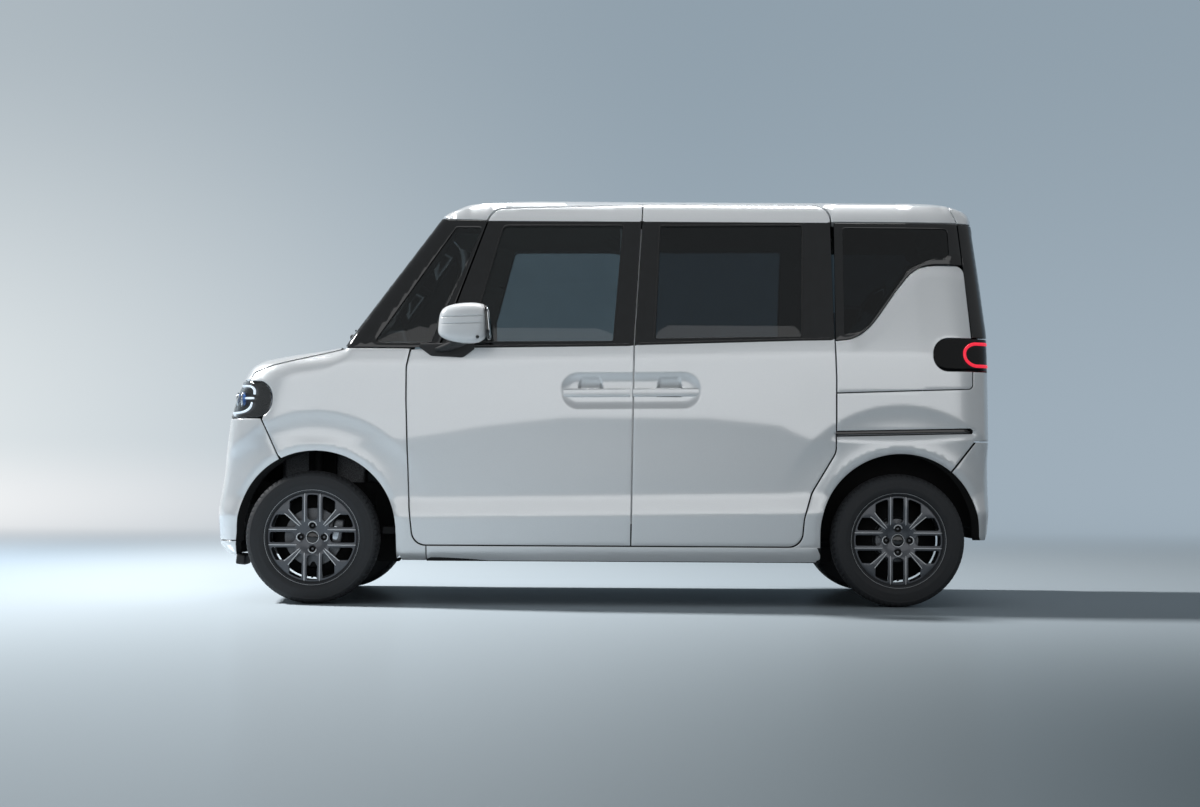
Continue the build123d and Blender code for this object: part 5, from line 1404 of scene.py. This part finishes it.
def makeSeats(s):
    # cushions, backs and headrests in pads, with hard bases, posts and rails below them
    y, far = s["frontY"], s["rearY"]
    pad("frontCushion", (-205, y, 622), (490, 500, 138), s, 0.0, 5, 16, [(1, -165), (1, 165), (0, -150), (0, 20)],
        replaces=["front_seats"])
    pad("frontBack", (72, y, 925), (118, 490, 540), s, 0.215, 5, 18, [(1, -160), (1, 160), (2, 60), (2, -110)])
    pad("frontHeadrest", (161, y, 1308), (92, 262, 176), s, 0.1, 3.6, 0, [(1, -92), (1, 92)])
    pad("rearCushion", (722, far, 605), (470, 466, 128), s, 0.0, 5, 8, [(1, -150), (1, 150), (0, -120), (0, 60)],
        replaces=["rear_seat"])
    pad("rearBack", (990, far, 885), (108, 466, 520), s, 0.2, 5, 8, [(1, -150), (1, 150), (2, 70), (2, -90)])
    pad("rearHeadrest", (1058, -250, 1238), (78, 236, 156), s, 0.1, 3.6, 0, [(1, -84), (1, 84)])
    softBox("frontSeatBase", "body", ["trim"], (-205, y, 442), (384, 400, 214), 8, 26, 0, True)
    softBox("rearSeatBase", "body", ["trim"], (670, -235, 440), (250, 420, 204), 8, 26, 0, True)
    for name, x0, x1, z0, z1, middle in (("front", 128, 152, 1165, 1260, y), ("rear", 1042, 1052, 1110, 1190, -250)):
        ends = [np.array([(x0, middle + o, z0), (x1, middle + o, z1)], float) for o in (-56, 56)]
        posts = [barGrid(divided(line, 12, False), 12, 12, (0, 1, 0), 14) for line in ends]
        pair(f"{name}HeadPosts", "body", ["reflector"], posts)
    for name, o in (("outer", y - 150), ("inner", y + 150)):
        path = divided(np.array([(-420, o, 340), (40, o, 340)], float), 30, False)
        bar(f"{name}SeatRail", "body", ["chassis"], path, 34, 16, (0, 0, 1), 14, 5, both=True)


makeSeats(seats)
print("stage: seats")

# cabin details

cabin = {"screenWidth": 232.0, "screenHeight": 136.0, "armrestLength": 420.0}


def makeCabin(c):
    # what shows through the glass: screen, instruments, vents, shift panel and the furniture of the doors
    softBox("dashScreen", "body", ["gloss"], (-668, 0, 1040), (20, c["screenWidth"], c["screenHeight"]), 9, 26, 0.22)
    softBox("dashBinnacle", "body", ["trim"], (-735, 330, 1052), (120, 300, 74), 4, 30)
    softBox("dashDial", "body", ["gloss"], (-676, 330, 1052), (10, 262, 52), 5, 26, 0.2)
    for n, (y, width) in enumerate(((-545, 96), (-210, 110), (210, 110), (545, 96))):
        softBox(f"dashVent{n}", "body", ["gloss"], (-640, y, 968), (24, width, 46), 6, 22, -0.3)
        ends = [np.array([(-628 + 2 * k, y + o * width, 954 + 14 * k) for o in (-0.42, 0.42)]) for k in range(3)]
        slats = [barGrid(divided(line, 20, False), 10, 2.5, (0, 0, 1), 8, 3) for line in ends]
        pair(f"dashVentSlats{n}", "body", ["plastic"], slats, both=False)
    softBox("shiftPanel", "body", ["gloss"], (-640, 60, 880), (40, 190, 90), 6, 24, -0.35)
    softBox("shiftKnob", "body", ["trim"], (-590, 60, 905), (44, 40, 52), 2.8, 22)
    softBox("gloveBoxLid", "body", ["trim"], (-655, -330, 850), (30, 400, 120), 8, 26, -0.2)
    for name, body, x, z in (("front", "front_door_SIDE", -330, 845), ("rear", "body", 560, 850)):
        softBox(f"{name}Armrest", body, ["trim"], (x, -662, z), (c["armrestLength"], 66, 62), 4.5, 30, 0, True)
        softBox(f"{name}SwitchPlate", body, ["gloss"], (x - 90, -648, z + 29), (170, 46, 8), 6, 22, 0, True)
        softBox(f"{name}DoorPocket", body, ["trim"], (x + 20, -668, 460), (520, 44, 190), 6, 30, 0, True)
        circle = circleOf((x - 230, -672, 640), 82, 1, 48)
        bar(f"{name}SpeakerRing", body, ["plastic"], circle, 10, 8, (0, 1, 0), 12, 2.5, closed=True, both=True)
        pull = np.array([(x - 190, -664, 962), (x - 176, -652, 968), (x - 110, -650, 966), (x - 84, -662, 960)],
                        float)
        bar(f"{name}InnerHandle", body, ["reflector"], divided(pull, 8, False), 16, 12, (0, 1, 0), 14, 3, taper=3,
            both=True)


makeCabin(cabin)
print("stage: cabin")

# plain finishes of the CAD pieces that stay

nodeFinish = {"floor_pan": "carpet", "front_pillars": "trim", "centre_pillars": "paint", "scuttle": "plastic",
              "wheel_housings": "felt", "dashboard": "trim", "front_subframe": "chassis", "rear_axle": "chassis",
              "engine_block": "engine", "fuel_tank": "tank", "exhaust_pipe": "exhaust", "knuckle_left": "chassis",
              "knuckle_right": "chassis", "steering_wheel": "trim"}
for name, thing in nodes.items():
    if not thing.hide_render:
        thing.data.materials.clear()
        thing.data.materials.append(materials[nodeFinish.get(name, "trim")])
print("stage: shown CAD nodes", sorted(n for n, o in nodes.items() if not o.hide_render))


# studio

# "near", "far" and "high" are darker tones painted in as shade where the light falls off; "glow" and "low" are the
# wall's painted light
studio = {"floor": "#C3CED5", "near": "#566369", "far": "#9FAEBA", "glow": "#E6ECEE", "low": "#FFFFFF",
          "high": "#8797A3",
          "key": 740.0, "top": 270.0, "side": 272.0, "ground": 1850.0, "sky": 0.2, "mirrored": 0.38,
          "half": 70.0, "curve": 5.0, "gleam": 0.12, "gleamRough": 0.22}


def makeStudio(s):
    # a floor that turns up into a backdrop: flat, then a quarter circle, then upright
    t = np.linspace(0, 1, 60)
    bend = np.clip((t - 0.6) / 0.25, 0, 1) * np.pi / 2
    y = np.where(t < 0.6, -16 + t / 0.6 * 26, 10 + s["curve"] * np.sin(bend))
    z = np.where(t < 0.6, 0, s["curve"] * (1 - np.cos(bend))) + np.where(t > 0.85, (t - 0.85) / 0.15 * 12, 0)
    x = np.linspace(-s["half"], s["half"], 60)[:, None]
    grid = np.stack(np.broadcast_arrays(x, y, z), -1) * 1000
    floor = gridObject("studioFloor", None, ["paint"], grid, False, False, False)
    material = bpy.data.materials.new("paintedStudioFloor")
    material.use_nodes = True
    tree = material.node_tree
    tree.nodes.clear()
    place = addNode(tree, "ShaderNodeTexCoord")
    part = addNode(tree, "ShaderNodeSeparateXYZ", None, {"Vector": (place, "Object")})
    # smooth ramps along one axis, in metres
    ramps = {}
    for key, socket, low, high, most in (("rear", "X", -1.0, 2.0, 1.0), ("near", "Y", 0.0, -7.0, 1.0),
                                         ("nose", "X", -2.0, -4.0, 1.0),
                                         ("foot", "Z", 0.1, 0.9, 1.0), ("along", "X", -9.0, 1.5, 1.0),
                                         ("up", "Z", 0.3, 6.0, 0.65),
                                         ("wall", "Y", 2.5, 12.0, 1.0)):
        node = addNode(tree, "ShaderNodeMapRange", {"From Min": low, "From Max": high, "To Max": most},
                       {"Value": (part, socket)},
                       interpolation_type="SMOOTHSTEP")
        ramps[key] = (node, "Result")
    tones = {}
    for key in ("floor", "near", "far", "glow", "low", "high"):
        node = addNode(tree, "ShaderNodeRGB")
        node.outputs[0].default_value = linear(s[key])
        tones[key] = (node, "Color")
    # floor colour darkened towards the front, the rear and the nose side as painted shade where the lamps' light
    # falls off;
    # beyond it the curved wall glows by itself as painted light, brightest low at the nose side and shaded towards
    # the top
    for key, first, second, factor in (("ground", "floor", "near", "rear"), ("ground", "floor", "ground", "near"),
                                       ("ground", "ground", "far", "nose"), ("backdrop", "low", "glow", "foot"),
                                       ("backdrop", "backdrop", "far", "along"),
                                       ("backdrop", "backdrop", "high", "up")):
        node = addNode(tree, "ShaderNodeMixRGB", None, {"Fac": ramps[factor], "Color1": tones[first],
                                                        "Color2": tones[second]})
        tones[key] = (node, "Color")
    matt = addNode(tree, "ShaderNodeBsdfDiffuse", None, {"Color": tones["ground"]})
    gleam = addNode(tree, "ShaderNodeBsdfGlossy", {"Roughness": s["gleamRough"]}, {"Color": tones["ground"]})
    bsdf = addNode(tree, "ShaderNodeMixShader", {"Fac": s["gleam"]}, {1: (matt, "BSDF"), 2: (gleam, "BSDF")})
    shine = addNode(tree, "ShaderNodeEmission", {"Strength": 1.0}, {"Color": tones["backdrop"]})
    # the glow is for what the camera, glossy and glass rays see of the wall; other rays meet plain paint
    path = addNode(tree, "ShaderNodeLightPath")
    share = (path, "Is Camera Ray")
    for other, kind in (((path, "Is Glossy Ray"), "MAXIMUM"), ((path, "Is Transmission Ray"), "MAXIMUM"),
                        (ramps["wall"], "MULTIPLY")):
        share = (addNode(tree, "ShaderNodeMath", None, {0: share, 1: other}, operation=kind), "Value")
    both = addNode(tree, "ShaderNodeMixShader", None, {"Fac": share, 1: (bsdf, "Shader"), 2: (shine, "Emission")})
    end = addNode(tree, "ShaderNodeOutputMaterial")
    tree.links.new(both.outputs["Shader"], end.inputs["Surface"])
    floor.data.materials[0] = material
    world = bpy.data.worlds.new("studioSky")
    bpy.context.scene.world = world
    world.use_nodes = True
    world.node_tree.nodes["Background"].inputs["Color"].default_value = linear("#E8EEF2")
    # reflections see a brighter sky than the one that fills the shadows
    rays = addNode(world.node_tree, "ShaderNodeLightPath")
    sky = addNode(world.node_tree, "ShaderNodeMapRange", {"To Min": s["mirrored"], "To Max": s["sky"]},
                  {"Value": (rays, "Is Diffuse Ray")})
    world.node_tree.links.new(sky.outputs["Result"], world.node_tree.nodes["Background"].inputs["Strength"])
    for name, place, aim, size, power, state, starts in (
            ("topSoftbox", (0, -0.3, 6.0), (0, 0, 0.6), (4.2, 1.0), s["top"], "EXCLUDE", ("studioFloor",)),
            ("keySoftbox", (-8.5, 0.9, 6.4), (0, 0, 0.5), (1.6, 1.2), s["key"], "EXCLUDE", ("studioFloor",)),
            ("sideSoftbox", (1.0, -12.5, 3.15), (1.0, 0, 3.1), (20.0, 4.8), s["side"], "EXCLUDE",
             ("studioFloor", "quarterPane", "tailLamp")),
            ("floorSoftbox", (-8.5, 1.7, 6.4), (0, 0, 0.0), (0.9, 0.7), s["ground"], "INCLUDE", ("studioFloor",))):
        light = bpy.data.lights.new(name, "AREA")
        light.shape, light.size, light.size_y, light.energy = "RECTANGLE", size[0], size[1], power
        lamp = bpy.data.objects.new(name, light)
        lamp.location = place
        lamp.visible_camera = False
        lamp.rotation_euler = (Vector(aim) - Vector(place)).to_track_quat("-Z", "Y").to_euler()
        bpy.context.scene.collection.objects.link(lamp)
        # pieces whose names start so take no light from this box, or are all that take it
        chosen = bpy.data.collections.new(name + "Pieces")
        for thing in bpy.data.objects:
            if thing.name.startswith(starts):
                chosen.objects.link(thing)
        lamp.light_linking.receiver_collection = chosen
        for entry in chosen.collection_objects:
            entry.light_linking.link_state = state


makeStudio(studio)
bpy.context.scene.view_settings.view_transform = "Standard"
